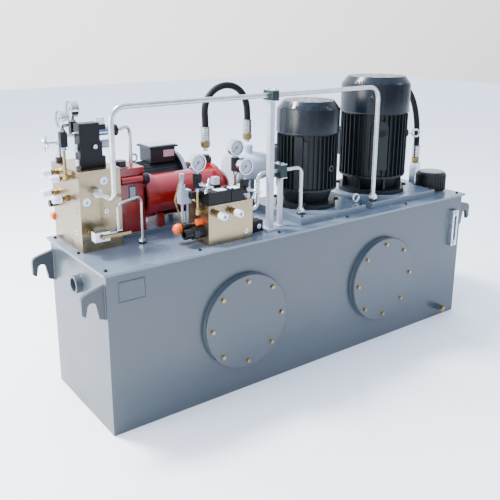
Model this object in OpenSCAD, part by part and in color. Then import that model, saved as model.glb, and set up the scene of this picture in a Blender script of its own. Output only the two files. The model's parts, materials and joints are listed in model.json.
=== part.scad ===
// Hydraulic power unit: an oil tank that carries two vertical pump motors, a circulation
// pump with its filter, and two valve manifolds with gauges and pipework.
// Millimetres, +Z up. The origin is the middle of the tank's underside, +X runs along the
// tank towards the oil filler, and -Y is the side with the two clean-out covers.

/* [Tank] */
// Length of the tank
tank_l = 2000; // [1900:10:2600]
// Depth of the tank from front to back
tank_w = 525; // [515:5:700]
// Height of the tank's walls
tank_h = 636; // [520:2:800]
// Thickness of the walls
wall_t = 6; // [4:1:8]
// Thickness of the floor
floor_t = 8; // [6:1:12]
// Width of the inward rim that the lid lies on
rim_w = 45; // [40:1:60]
// Thickness of the rim
rim_t = 10; // [8:1:14]
// Thickness of the lid
lid_t = 10; // [8:1:16]
// How far the lid stands out past the walls
lid_overhang = 12; // [6:1:20]
// Thickness of the lid's seal
seal_t = 2; // [1:0.5:4]
// Distance from a long wall's outside to the lid screws
lid_screw_in = 24; // [20:1:30]
// Distance from an end wall's outside to the lid screws
lid_screw_end = 12; // [11:1:13]
// Number of lid screws along each long side
lid_screws_n = 6; // [4:1:10]

/* [Clean-out covers] */
// Diameter of a cover
cover_d = 406; // [390:2:420]
// Diameter of the circle of bolts
cover_pcd = 350; // [340:2:356]
// Number of bolts in a cover
cover_bolts_n = 8; // [6:1:12]
// Diameter of the inspection opening
cover_open_d = 300; // [260:2:310]
// Height of the covers' middles
cover_z = 315; // [250:1:320]
// Distance of the left cover's middle from the tank's left end
cover_left_x = 604; // [400:2:700]
// Distance of the right cover's middle from the tank's right end
cover_right_x = 585; // [400:2:700]
// Thickness of the welded ring
ring_t = 14; // [10:1:20]
// Thickness of a cover
cover_t = 10; // [8:1:16]

/* [Motors] */
// Distance of the small motor to the right of the middle
small_x = 144; // [120:2:160]
// Distance of the large motor to the right of the middle
large_x = 616; // [600:2:640]
// Side of the small motor's base plate
small_plate = 395; // [380:1:410]
// Side of the large motor's base plate
large_plate = 454; // [440:1:470]
// Thickness of the base plates
plate_t = 32; // [20:1:40]
// Radius over the small motor's fins
small_fin_r = 141; // [136:1:146]
// Radius over the large motor's fins
large_fin_r = 166; // [160:1:172]
// Height of the small motor above its plate
small_motor_h = 480; // [440:5:520]
// Height of the large motor above its plate
large_motor_h = 566; // [520:5:600]
// Radius of the small motor's shaft
small_shaft_r = 19; // [16:1:22]
// Radius of the large motor's shaft
large_shaft_r = 21; // [18:1:24]
// Radial clearance of a running shaft
run_gap = 0.05; // [0.02:0.01:0.1]

/* [Left manifold] */
// Length of the left manifold along X
man_l_x = 170; // [150:1:180]
// Depth of the left manifold
man_l_y = 271; // [260:1:300]
// Height of the left manifold
man_l_z = 314; // [290:1:340]

/* [Front manifold] */
// Length of the front manifold along X
man_f_x = 213; // [205:1:230]
// Depth of the front manifold
man_f_y = 159; // [155:1:175]
// Height of the front manifold
man_f_z = 162; // [155:1:180]

/* [Circulation unit] */
// Radius of the drum
drum_r = 84; // [78:1:86]
// Length of the drum between its flanges
drum_l = 298; // [280:1:320]
// Radius of the circulation motor's body
circ_r = 88; // [80:1:90]

/* [Filter] */
// Radius of the filter canister
can_r = 68.5; // [60:0.5:74]
// Length of the canister
can_l = 190; // [170:1:200]

/* [Pipework] */
// Outer radius of the overhead pipe
pipe_r = 10; // [8:0.5:12]
// Height of the overhead pipe above the lid
pipe_h = 566; // [540:2:600]
// Bend radius of the overhead pipe
pipe_bend = 55; // [40:1:70]
// Radius of the hoses
hose_r = 15; // [14:0.5:18]

/* [Gauges] */
// Radius of a gauge case
gauge_r = 34; // [30:0.5:36]
// Depth of a gauge case
gauge_t = 32; // [28:1:40]

/* [Hidden] */
$fn = 48;

// The tank's outside
left = -tank_l / 2;
right = tank_l / 2;
front = -tank_w / 2;
back = tank_w / 2;
lid_z = tank_h + seal_t;
top = lid_z + lid_t;
eps = 0.01;

// Bolts
bolt_r = 5;
screw_r = 4;
hole_gap = 0.5;
cover_seal_t = 3;
cover_face = ring_t + cover_seal_t + cover_t;
cover_xs = [left + cover_left_x, right - cover_right_x];
screw_y = tank_w / 2 - lid_screw_in;
screw_pitch = (tank_l - 2 * lid_screw_end) / (lid_screws_n - 1);
screw_xs = [for (i = [0 : lid_screws_n - 1]) left + lid_screw_end + i * screw_pitch];

// Side port and drain
port_y = front + 232;
port_z = 540;
port_r = 35;
port_bore_r = 27;
port_l = 30;
drain_x = right - 136;
drain_z = 54;
drain_r = 15;
drain_l = 34;

// Level gauge
level_x = right - 68;
level_z0 = 384;
level_l = 189;
level_w = 42;
level_t = 24;

// Breather
breather_x = right - 70;
breather_y = front + 150;
breather_r = 77;
breather_h = 92;
neck_r = 62;
neck_h = 26;
cap_gap = 0.4;

// Motors
small_y = -15.5;
large_y = 18.5;
plate_top = top + plate_t;
core_in = 14;
bearing_t = 20;
pump_top = 470;
pump_h = 150;
pump_r = 82;
bell_r = 92;
bell_t = 8;
strainer_r = 60;
strainer_h = 120;
strainer_z = 60;
pipe_suct_r = 24;

// Manifolds
ml_x0 = left + 27;
ml_y0 = back - man_l_y;
ml_x1 = ml_x0 + man_l_x;
ml_y1 = back;
ml_top = top + man_l_z;
mf_x0 = left + 463;
mf_y0 = front + 44;
mf_x1 = mf_x0 + man_f_x;
mf_y1 = mf_y0 + man_f_y;
mf_top = top + man_f_z;

// Circulation unit
base_t = 16;
base_x0 = left + 205;
base_y0 = back - 190;
base_l = 545;
base_w = 330;
base_top = top + base_t;
box_x = 140;
box_y = 140;
box_h = 268;
box_x1 = base_x0 + box_x;
box_y0 = base_y0 + 5;
box_top = base_top + box_h;
bar_y = box_y0 - 9;
bar_z = box_top - 47;
drum_y = back - 130;
drum_z = top + 149;
flange_a = 47;
flange_a_r = drum_r + 9;
flange_b_r = drum_r + 16;
flange_b = 22;
drum_x0 = box_x1 + flange_a;
drum_x1 = drum_x0 + drum_l;
dome_r = 78;
circ_y = drum_y + drum_r + circ_r + 7;
circ_z = top + 167;
circ_x0 = box_x1 + 51;
circ_l = 218;
circ_flange_r = 118;
circ_pump_r = 58;
circ_shaft_r = 12;

// Filter
can_x1 = left + 1026;
can_x0 = can_x1 - can_l;
can_y = back - 95;
can_z = top + 198;
neck_x = left + 936;

// Overhead pipe
pipe_x0 = left + 90;
pipe_y = front + 86;
pipe_x1 = large_x - 191;
pipe_z = top + pipe_h;
pipe_port_z = top + 232;
post_x = left + 798;
post_half = 12;
tube_r = 8;
post2_x = left + 870;
pipe2_z = top + 243;
pipe2_y = pipe_y + post_half + tube_r + 1;
pipe2_x0 = left + 750;
pipe2_x1 = small_x - 155;
tube2_r = 5.5;

// Gauges: stem position, height of the dial's middle, turn about Z, height of the valve's middle
gauges = [
  [ml_x0 - 17, ml_y0 + 81, ml_top + 190, -90, ml_top + 114],
  [ml_x0 + 51, ml_y0 + 146, ml_top + 216, -90, ml_top + 140],
  [mf_x0 - 18, mf_y0 + 51, mf_top + 167, 0, mf_top + 95],
  [mf_x1 - 21, mf_y0 + 28, mf_top + 131, 0, mf_top + 50],
  [mf_x1 - 16, mf_y0 + 98, mf_top + 196, 0, mf_top + 127]];
dial_in = 8;
stem_back = 14;
valve_w = 26;
valve_h = 56;
spindle_l = 62;
spindle_r = 5;
handle_r = 24;

// Hose routes: the hose centre lines, point by point, moved with the parts at their ends
function moved(route, by) = [for (p = route) p + by];
hose_a = moved([
  [-297, 167.5, 1052], [-297, 167.5, 1080], [-299, 167.5, 1106], [-299, 167.5, 1132],
  [-293, 167.5, 1158], [-280, 167.5, 1182], [-261, 167.5, 1202], [-237, 167.5, 1217],
  [-210, 167.5, 1226], [-181, 167.5, 1229], [-152, 167.5, 1225], [-125, 167.5, 1214],
  [-102, 167.5, 1197], [-85, 167.5, 1174], [-74, 167.5, 1148], [-68, 167.5, 1121],
  [-66, 167.5, 1093], [-66, 167.5, 1066]], [left + 1000, back - 262.5, top - 648]);
hose_b = moved([
  [943, 8, 866], [943, 8, 902], [942, 10, 938], [940, 12, 974], [938, 16, 1010],
  [935, 22, 1046], [931, 30, 1081], [926, 42, 1114], [920, 58, 1145], [913, 80, 1170],
  [907, 106, 1184], [903, 134, 1186], [901, 161, 1175], [900, 185, 1154], [900, 204, 1126],
  [900, 217, 1094], [900, 224, 1060], [900, 227, 1026], [900, 228, 990], [900, 228, 954],
  [900, 228, 918], [900, 228, 882], [900, 228, 846]], [right - 1000, back - 262.5, top - 648]);
hose_sides = 12;

// ---------- shared shapes ----------

module hex_prism(r, h) {
  cylinder(r = r, h = h, $fn = 6);
}

// A rod from one point along an axis: 0 is X, 1 is Y and 2 is Z
module rod(p, r, l, axis = 2) {
  turn = [[0, 90, 0], [-90, 0, 0], [0, 0, 0]][axis];
  translate(p) rotate(turn) cylinder(r = r, h = l);
}

module block(p, s) {
  translate(p) cube(s);
}

// A quarter bend with its middle at p. It reaches a little into the straight pipes at its ends.
bend_reach = 1;
bend_thin = 0.12;

module bend(p, turn, bend_r, r) {
  translate(p) rotate(turn) rotate(-bend_reach) rotate_extrude(angle = 90 + 2 * bend_reach)
    translate([bend_r, 0]) circle(r = r - bend_thin);
}

// A screw with a round socket head, its seat at the origin and its head up
module cap_screw(r, l) {
  translate([0, 0, -l]) cylinder(r = r, h = l);
  difference() {
    cylinder(r = 1.6 * r, h = 1.6 * r);
    translate([0, 0, 0.8 * r]) hex_prism(0.9 * r, 2 * r);
  }
}

// A hexagon bolt on a washer, its seat at the origin and its head up
module hex_bolt(r, l) {
  translate([0, 0, -l]) cylinder(r = r, h = l);
  cylinder(r = 2 * r, h = 0.35 * r);
  translate([0, 0, 0.35 * r]) hex_prism(1.75 * r, 1.25 * r);
}

module at_cover_bolts() {
  for (x = cover_xs) {
    for (i = [0 : cover_bolts_n - 1]) {
      a = i * 360 / cover_bolts_n;
      translate([x + cover_pcd / 2 * cos(a), front, cover_z + cover_pcd / 2 * sin(a)])
        rotate([90, 0, 0]) children();
    }
  }
}

// Along the back, the circulation unit's base and the large plate take the place of screws
function under(x, x0, x1) = x > x0 - 12 && x < x1 + 12;
function back_free(x) = !under(x, base_x0, base_x0 + base_l)
  && !under(x, large_x - large_plate / 2, large_x + large_plate / 2);

module at_lid_screws() {
  for (x = screw_xs) {
    translate([x, -screw_y, top]) children();
    if (back_free(x)) {
      translate([x, screw_y, top]) children();
    }
  }
  for (x = [left + lid_screw_end, right - lid_screw_end]) {
    translate([x, 0, top]) children();
  }
}

module at_plate_corners(side, in) {
  for (sx = [-1, 1]) {
    for (sy = [-1, 1]) {
      translate([sx * (side / 2 - in), sy * (side / 2 - in), 0]) children();
    }
  }
}

plate_in = 16;

module at_plate_screws() {
  translate([small_x, small_y, plate_top]) at_plate_corners(small_plate, plate_in) children();
  translate([large_x, large_y, plate_top]) at_plate_corners(large_plate, plate_in) children();
}

module at_motors() {
  translate([small_x, small_y, 0]) children();
  translate([large_x, large_y, 0]) children();
}

// ---------- tank ----------

module tank_shell() {
  color("slategray") difference() {
    translate([left, front, 0]) cube([tank_l, tank_w, tank_h]);
    block([left + wall_t, front + wall_t, floor_t],
      [tank_l - 2 * wall_t, tank_w - 2 * wall_t, tank_h - rim_t - floor_t]);
    block([left + rim_w, front + rim_w, tank_h - rim_t - eps],
      [tank_l - 2 * rim_w, tank_w - 2 * rim_w, rim_t + 1]);
    for (x = cover_xs) {
      rod([x, front - 1, cover_z], cover_open_d / 2, wall_t + 2, 1);
    }
    rod([left - 1, port_y, port_z], port_bore_r, wall_t + 2, 0);
    rod([drain_x, front - 1, drain_z], drain_r - 5, wall_t + 2, 1);
    translate([0, 0, -lid_t - seal_t - rim_t - 1]) at_lid_screws()
      cylinder(r = screw_r + 0.1, h = rim_t + 2);
    translate([breather_x, breather_y, tank_h - rim_t - 1]) cylinder(r = neck_r - 12, h = rim_t + 2);
  }
}

module tank_baffle() {
  color("slategray") difference() {
    block([-150, front + wall_t, floor_t], [5, tank_w - 2 * wall_t, 430]);
    block([-151, front + wall_t - 1, floor_t - 1], [7, 90, 120]);
    block([-151, back - wall_t - 89, floor_t - 1], [7, 90, 120]);
  }
}

name_x = left + 46;
name_z = 525;
name_w = 110;
name_h = 80;

module welded_fittings() {
  color("slategray") {
    difference() {
      for (x = cover_xs) {
        rod([x, front - ring_t, cover_z], cover_d / 2 - 4, ring_t, 1);
      }
      for (x = cover_xs) {
        rod([x, front - ring_t - 1, cover_z], cover_open_d / 2, ring_t + 2, 1);
      }
      at_cover_bolts() translate([0, 0, -1]) cylinder(r = bolt_r + 0.1, h = ring_t + 2);
    }
    difference() {
      rod([left - port_l, port_y, port_z], port_r, port_l, 0);
      rod([left - port_l - 1, port_y, port_z], port_bore_r, port_l + 2, 0);
    }
    difference() {
      rod([drain_x, front - drain_l, drain_z], drain_r, drain_l, 1);
      rod([drain_x, front - drain_l - 1, drain_z], drain_r - 5, drain_l + 2, 1);
    }
    difference() {
      block([name_x, front - 3, name_z], [name_w, 3, name_h]);
      block([name_x + 4, front - 3.5, name_z + 4], [name_w - 8, 4, name_h - 8]);
    }
  }
}

module gaskets() {
  color("dimgray") {
    difference() {
      block([left, front, tank_h], [tank_l, tank_w, seal_t]);
      block([left + rim_w, front + rim_w, tank_h - 1],
        [tank_l - 2 * rim_w, tank_w - 2 * rim_w, seal_t + 2]);
      translate([0, 0, -lid_t - seal_t - 1]) at_lid_screws() cylinder(r = screw_r + hole_gap, h = 5);
      translate([breather_x, breather_y, tank_h - 1]) cylinder(r = neck_r - 12, h = seal_t + 2);
    }
    difference() {
      for (x = cover_xs) {
        rod([x, front - ring_t - cover_seal_t, cover_z], cover_d / 2 - 6, cover_seal_t, 1);
      }
      for (x = cover_xs) {
        rod([x, front - ring_t - 6, cover_z], cover_open_d / 2 + 2, 12, 1);
      }
      at_cover_bolts() cylinder(r = bolt_r + hole_gap, h = ring_t + 8);
    }
  }
}

module clean_out_covers() {
  rise = ring_t + cover_seal_t;
  soft = 3;
  color("slategray") difference() {
    for (x = cover_xs) {
      translate([x, front - rise, cover_z]) rotate([90, 0, 0]) {
        cylinder(r = cover_d / 2, h = cover_t - soft);
        translate([0, 0, cover_t - soft])
          cylinder(r1 = cover_d / 2, r2 = cover_d / 2 - soft, h = soft);
      }
    }
    at_cover_bolts() cylinder(r = bolt_r + hole_gap, h = cover_face + 8);
  }
}

module cover_bolts() {
  color("goldenrod") at_cover_bolts() translate([0, 0, cover_face]) hex_bolt(bolt_r, cover_face - 1);
}

lid_hole_r = 100;

module lid_plate() {
  color("lightslategray") difference() {
    block([left - lid_overhang, front - lid_overhang, lid_z],
      [tank_l + 2 * lid_overhang, tank_w + 2 * lid_overhang, lid_t]);
    at_motors() translate([0, 0, lid_z - 1]) cylinder(r = lid_hole_r, h = lid_t + 2);
    translate([0, 0, -lid_t - 1]) at_lid_screws() cylinder(r = screw_r + hole_gap, h = lid_t + 2);
    translate([0, 0, -plate_t - lid_t - 1]) at_plate_screws()
      cylinder(r = screw_r + 0.1, h = lid_t + 2);
    translate([breather_x, breather_y, lid_z - 1]) cylinder(r = neck_r - 12, h = lid_t + 2);
  }
}

module black_screws() {
  color("black") {
    at_lid_screws() cap_screw(screw_r, lid_t + seal_t + rim_t - 1);
    at_plate_screws() cap_screw(screw_r, plate_t + lid_t - 1);
  }
}

lug_t = 16;
lug_w = 90;
lug_top = tank_h - 36;
lug_z0 = 470;

// A lifting hook: a plate with a slot open below, standing out to -X from x = 0
module lug() {
  rotate([90, 0, 0]) linear_extrude(lug_t, center = true) difference() {
    union() {
      polygon([[0, lug_z0], [0, lug_top], [-lug_w + 24, lug_top - 16], [-lug_w, lug_top - 42],
        [-lug_w, lug_z0 + 38], [-lug_w + 12, lug_z0 + 30]]);
      translate([-lug_w + 26, lug_top - 43]) circle(r = 26);
    }
    translate([-lug_w + 38, lug_top - 70]) circle(r = 17);
    polygon([[-lug_w + 21, lug_top - 70], [-lug_w + 55, lug_top - 70],
      [-lug_w + 66, lug_z0 - 1], [-lug_w + 8, lug_z0 - 1]]);
  }
}

module lifting_lugs() {
  color("slategray") {
    for (y = [front + 20, back - 17]) {
      translate([left, y, 0]) lug();
      translate([right, y, 0]) mirror([1, 0, 0]) lug();
    }
  }
}

// ---------- gauge, breather ----------

module level_gauge_body() {
  end_h = 30;
  color("silver") difference() {
    block([level_x - level_w / 2, front - level_t, level_z0], [level_w, level_t, level_l]);
    block([level_x - 9, front - level_t - 1, level_z0 + end_h], [18, level_t - 5, level_l - 2 * end_h]);
  }
  color("silver") {
    for (z = [level_z0 + 15, level_z0 + level_l - 15]) {
      translate([level_x, front - level_t, z]) rotate([90, 0, 0]) hex_prism(10, 7);
    }
  }
}

module level_gauge_tube() {
  color("lightblue") block([level_x - 8.8, front - level_t + 2, level_z0 + 30.2],
    [17.6, 15.8, level_l - 60.4]);
}

module breather_neck() {
  color("darkgoldenrod") difference() {
    union() {
      translate([breather_x, breather_y, top]) cylinder(r = neck_r + 6, h = 8);
      translate([breather_x, breather_y, top - 60]) cylinder(r = neck_r - 12.5, h = 60 + neck_h);
    }
    translate([breather_x, breather_y, top - 61]) cylinder(r = neck_r - 16, h = 120);
  }
}

module breather_cap() {
  z0 = top + 8 + cap_gap;
  color("black") translate([breather_x, breather_y, z0]) difference() {
    union() {
      cylinder(r = breather_r - 3, h = breather_h - 10);
      translate([0, 0, breather_h - 10]) cylinder(r1 = breather_r - 3, r2 = breather_r - 13, h = 10);
      for (i = [0 : 29]) {
        rotate(i * 12) translate([breather_r - 6, -3, 0]) cube([6, 6, breather_h - 14]);
      }
    }
    translate([0, 0, -1]) cylinder(r = neck_r - 12.5 + cap_gap, h = neck_h + 2);
  }
}

// ---------- pump motors ----------

module mounting_plates() {
  color("lightslategray") difference() {
    union() {
      translate([small_x - small_plate / 2, small_y - small_plate / 2, top])
        cube([small_plate, small_plate, plate_t]);
      translate([large_x - large_plate / 2, large_y - large_plate / 2, top])
        cube([large_plate, large_plate, plate_t]);
    }
    at_motors() translate([0, 0, top - 1]) cylinder(r = bell_r, h = plate_t + 2);
    translate([0, 0, -plate_t - 1]) at_plate_screws() cylinder(r = screw_r + hole_gap, h = plate_t + 2);
    translate([small_x + small_plate / 2 - 16, small_y - small_plate / 2 + 50, plate_top - 20])
      cylinder(r = 5.1, h = 21);
  }
}

// The sizes that differ between the two motors follow from the radius over the fins
function motor_flange(r) = r + 9;
function motor_core(r) = r - core_in;
skirt_h = 78;
flange_t = 20;
shield_t = 18;
fins_n = 36;
cover_over = 4;
fan_h = 92;
small_body_h = small_motor_h - 140;
large_body_h = large_motor_h - 170;

// A motor's cast frame, standing on z = 0: flange, ribbed skirt and finned body
module motor_frame(fin_r, body_h, shaft_r, gussets) {
  core_r = motor_core(fin_r);
  difference() {
    union() {
      intersection() {
        cylinder(r = motor_flange(fin_r), h = flange_t);
        rotate(45) translate([-fin_r * 0.97, -fin_r * 0.97, 0]) cube([fin_r * 1.94, fin_r * 1.94, flange_t]);
      }
      translate([0, 0, flange_t]) cylinder(r1 = core_r - 24, r2 = core_r - 4, h = skirt_h - flange_t);
      if (gussets) {
        for (i = [0 : 7]) {
          rotate(i * 45 + 22.5) translate([core_r - 40, -5, flange_t]) cube([44, 10, skirt_h - flange_t]);
        }
      }
      translate([0, 0, skirt_h]) cylinder(r = core_r, h = body_h - skirt_h);
      translate([0, 0, skirt_h]) cylinder(r = fin_r - 2, h = 10);
      for (q = [0 : 3]) {
        rotate(q * 90 - 45) for (i = [0 : fins_n / 4 - 1]) {
          rotate(8 + i * 74 / (fins_n / 4 - 1)) translate([core_r - 3, -1.6, skirt_h + 4])
            cube([core_in + 3, 3.2, body_h - skirt_h - 14]);
        }
        rotate(q * 90 - 45) translate([core_r - 3, -9, skirt_h + 20])
          cube([core_in - 2, 18, body_h - skirt_h - 50]);
      }
    }
    translate([0, 0, skirt_h + 8]) cylinder(r = core_r - 9, h = body_h);
    translate([0, 0, skirt_h - bearing_t + 8]) cylinder(r = 2.4 * shaft_r, h = 50);
    translate([0, 0, -1]) cylinder(r = shaft_r + 4, h = skirt_h);
    translate([0, 0, -1]) cylinder(r = bell_r - 20, h = 5);
  }
  translate([0, 0, body_h + 0.1]) difference() {
    cylinder(r = fin_r - 4, h = shield_t);
    translate([0, 0, -1]) cylinder(r = shaft_r + 3, h = shield_t + 2);
    translate([0, 0, -1]) cylinder(r = 2.4 * shaft_r, h = shield_t - 4);
  }
}

module motor_frame_small() {
  color("darkslategray") translate([small_x, small_y, plate_top])
    motor_frame(small_fin_r, small_body_h, small_shaft_r, false);
}

module motor_frame_large() {
  color("darkslategray") translate([large_x, large_y, plate_top])
    motor_frame(large_fin_r, large_body_h, large_shaft_r, true);
}

// Stator and the two bearings of one motor
module motor_inside(fin_r, body_h, shaft_r) {
  core_r = motor_core(fin_r);
  translate([0, 0, skirt_h + 40]) difference() {
    cylinder(r = core_r - 9, h = body_h - skirt_h - 90);
    translate([0, 0, -1]) cylinder(r = core_r - 44, h = body_h);
  }
  for (z = [skirt_h - bearing_t + 8, body_h - 7.2]) {
    translate([0, 0, z]) difference() {
      cylinder(r = 2.4 * shaft_r, h = bearing_t);
      translate([0, 0, -1]) cylinder(r = shaft_r + run_gap, h = bearing_t + 2);
    }
  }
}

module motor_internals() {
  color("peru") {
    translate([small_x, small_y, plate_top]) motor_inside(small_fin_r, small_body_h, small_shaft_r);
    translate([large_x, large_y, plate_top]) motor_inside(large_fin_r, large_body_h, large_shaft_r);
    translate([circ_x0, circ_y, circ_z]) rotate([0, 90, 0]) circ_inside();
  }
}

// The sheet cover over a motor's fan, open below, with slots round its top
module fan_cover(fin_r, body_h, motor_h) {
  r = fin_r + cover_over - 1;
  z0 = body_h - 2;
  edge = motor_h - 38;
  t = 2.5;
  rt = r - 28;
  difference() {
    rotate_extrude() polygon([[r, z0], [r, edge], [rt, motor_h], [0, motor_h], [0, motor_h - t],
      [rt - 1, motor_h - t], [r - t, edge - 1], [r - t, z0]]);
    for (k = [0 : 3]) {
      for (i = [0 : 11]) {
        rotate(i * 30) translate([rt - 18 - k * 17, -4 - 1.5 * (4 - k), motor_h - 6])
          cube([8, 8 + 3 * (4 - k), 12]);
      }
    }
  }
}

module fan_covers() {
  color("darkslategray") {
    translate([small_x, small_y, plate_top]) fan_cover(small_fin_r, small_body_h, small_motor_h);
    translate([large_x, large_y, plate_top]) fan_cover(large_fin_r, large_body_h, large_motor_h);
  }
}

// A terminal box with a lid plate, its back on y = 0 and standing out to +Y
module terminal_box(w, d, h) {
  translate([-w / 2, 0, -h / 2]) cube([w, d, h]);
  translate([-w / 2 - 5, d, -h / 2 - 5]) cube([w + 10, 8, h + 10]);
}

module terminal_boxes() {
  seat = 6;
  color("darkslategray") {
    translate([small_x, small_y + small_fin_r + 0.5, plate_top + 0.55 * small_body_h])
      terminal_box(120, 60, 120);
    translate([large_x, large_y + large_fin_r + 0.5, plate_top + 0.55 * large_body_h])
      terminal_box(130, 66, 130);
    translate([circ_x0 + 142, circ_y, circ_z + circ_r - seat]) difference() {
      union() {
        translate([-62, -52, 0]) cube([124, 104, 66]);
        translate([-72, -62, 66]) cube([144, 124, 9]);
      }
      translate([-80, 0, -circ_r + seat]) rotate([0, 90, 0]) cylinder(r = circ_r + 0.1, h = 160);
    }
  }
}

// A lifting ring in the XY plane with its shank running to -Y
module ring_bolt(ring_r, wire_r, shank) {
  rotate_extrude() translate([ring_r, 0]) circle(r = wire_r);
  rotate([90, 0, 0]) translate([0, 0, ring_r]) cylinder(r = wire_r - 0.5, h = shank);
}

module eye_bolts() {
  ring_r = 17;
  shank = 30;
  out = (large_fin_r - 4.9 + ring_r + shank) * cos(45);
  color("silver") {
    translate([large_x + out, large_y - out, plate_top + large_body_h - 110])
      rotate([-90, -90, -45]) ring_bolt(ring_r, 5, shank);
    translate([small_x + small_plate / 2 - 16, small_y - small_plate / 2 + 50, plate_top + 24])
      rotate([90, 0, 0]) ring_bolt(18, 5, 20);
    translate([circ_x0 + 22, circ_y, circ_z + circ_r + 21]) rotate([90, 0, 0]) ring_bolt(16, 4.5, 6.9);
  }
}

// The turning parts of one pump set: shaft, rotor core, fan, coupling and pump gear.
// The origin is the top of the mounting plate.
module rotor(fin_r, body_h, motor_h, shaft_r) {
  core_r = motor_core(fin_r) - 45;
  low = pump_top - pump_h + 20 - plate_top;
  translate([0, 0, low]) cylinder(r = shaft_r, h = body_h + fan_h - 20 - low);
  translate([0, 0, skirt_h + 44]) difference() {
    cylinder(r = core_r, h = body_h - skirt_h - 98);
    translate([0, 0, -1]) cylinder(r = shaft_r + eps, h = body_h);
  }
  translate([0, 0, body_h + 32]) difference() {
    union() {
      cylinder(r = shaft_r + 14, h = 44);
      for (i = [0 : 6]) {
        rotate(i * 360 / 7) translate([shaft_r + 10, -2, 0]) cube([fin_r - shaft_r - 34, 4, 40]);
      }
    }
    translate([0, 0, -1]) cylinder(r = shaft_r + eps, h = 60);
  }
  translate([0, 0, pump_top + 70 - plate_top]) difference() {
    cylinder(r = 55, h = 62);
    translate([0, 0, -1]) cylinder(r = shaft_r + eps, h = 64);
  }
  translate([0, 0, pump_top - 90 - plate_top]) difference() {
    cylinder(r = 44, h = 40);
    translate([0, 0, -1]) cylinder(r = shaft_r + eps, h = 42);
  }
}

module rotor_small() {
  color("gray") translate([small_x, small_y, plate_top])
    rotor(small_fin_r, small_body_h, small_motor_h, small_shaft_r);
}

module rotor_large() {
  color("gray") translate([large_x, large_y, plate_top])
    rotor(large_fin_r, large_body_h, large_motor_h, large_shaft_r);
}

// The bell that carries a pump below the lid, and the pump under it
module immersed_pump(shaft_r) {
  difference() {
    union() {
      translate([0, 0, pump_top]) cylinder(r = bell_r, h = plate_top - pump_top - 0.2);
      translate([0, 0, pump_top]) cylinder(r = bell_r, h = 12);
    }
    translate([0, 0, pump_top + 12]) cylinder(r = bell_r - bell_t, h = plate_top);
    translate([0, 0, pump_top - 1]) cylinder(r = shaft_r + 6, h = 20);
    for (a = [0, 90]) {
      rotate(a) translate([-bell_r - 2, -30, pump_top + 60]) cube([2 * bell_r + 4, 60, 60]);
    }
  }
  translate([0, 0, pump_top - pump_h]) difference() {
    cylinder(r = pump_r, h = pump_h - 0.2);
    translate([0, 0, 58]) cylinder(r = 45, h = 44);
    translate([0, 0, 14]) cylinder(r = shaft_r + run_gap, h = pump_h);
  }
}

module immersed_pumps() {
  color("dimgray") {
    translate([small_x, small_y, 0]) immersed_pump(small_shaft_r);
    translate([large_x, large_y, 0]) immersed_pump(large_shaft_r);
  }
}

module suction_strainers() {
  color("silver") at_motors() {
    translate([0, 0, strainer_z]) difference() {
      cylinder(r = strainer_r, h = strainer_h);
      translate([0, 0, 6]) cylinder(r = strainer_r - 3, h = strainer_h - 12);
      for (i = [0 : 11]) {
        rotate(i * 30) translate([strainer_r - 10, -5, 16]) cube([20, 10, strainer_h - 32]);
      }
    }
    translate([0, 0, strainer_z + strainer_h + 0.1])
      cylinder(r = pipe_suct_r, h = pump_top - pump_h - strainer_z - strainer_h - 0.2);
  }
}

// ---------- circulation unit ----------

module circ_base() {
  color("slategray") {
    block([base_x0, base_y0, top + eps], [base_l, base_w, base_t - eps]);
    // brackets that carry the overhang from the tank's back wall
    for (x = [base_x0 + 60, base_x0 + base_l - 70]) {
      translate([x + 10, back, 0]) rotate([90, 0, -90]) linear_extrude(10)
        polygon([[0, lid_z - 150], [0, lid_z - 8], [-lid_overhang - 1, lid_z - 8],
          [-lid_overhang - 1, top], [-(base_y0 + base_w - back), top],
          [-(base_y0 + base_w - back), top - 22]]);
    }
    // feet of the motor
    for (x = [circ_x0 + 50, circ_x0 + circ_l - 60]) {
      translate([x, circ_y - 60, base_top]) difference() {
        cube([24, 120, circ_z - base_top]);
        translate([-1, 60, circ_z - base_top]) rotate([0, 90, 0]) cylinder(r = circ_r + 0.1, h = 30);
      }
    }
  }
}

module circ_housing() {
  color("firebrick") {
    difference() {
      union() {
        block([base_x0, box_y0, base_top], [box_x, box_y, box_h]);
        rod([base_x0 + 30, bar_y, bar_z], 15, 95, 0);
        rod([box_x1 - eps, drum_y, drum_z], flange_a_r, flange_a, 0);
        rod([drum_x0 - eps, drum_y, drum_z], drum_r, drum_l + 0.1, 0);
        rod([drum_x1, drum_y, drum_z], flange_b_r, flange_b, 0);
        translate([drum_x1 + flange_b - 1, drum_y, drum_z]) rotate([0, 90, 0])
          rotate_extrude() intersection() {
            square([drum_r, drum_r]);
            circle(r = dome_r);
          }
        for (x = [drum_x0 + 16, drum_x1 - 40]) {
          block([x, drum_y - 50, base_top], [24, 100, 60]);
        }
      }
      rod([base_x0 + 20, drum_y, drum_z], drum_r - 8, box_x + flange_a + drum_l, 0);
    }
  }
}

// Stator and bearings of the circulation motor, along +Z from its fan end
module circ_inside() {
  translate([0, 0, 50]) difference() {
    cylinder(r = circ_r - 12, h = 110);
    translate([0, 0, -1]) cylinder(r = circ_r - 34, h = 120);
  }
  for (z = [34, circ_l - 26]) {
    translate([0, 0, z]) difference() {
      cylinder(r = 26, h = 12);
      translate([0, 0, -1]) cylinder(r = circ_shaft_r + run_gap, h = 14);
    }
  }
}

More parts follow.
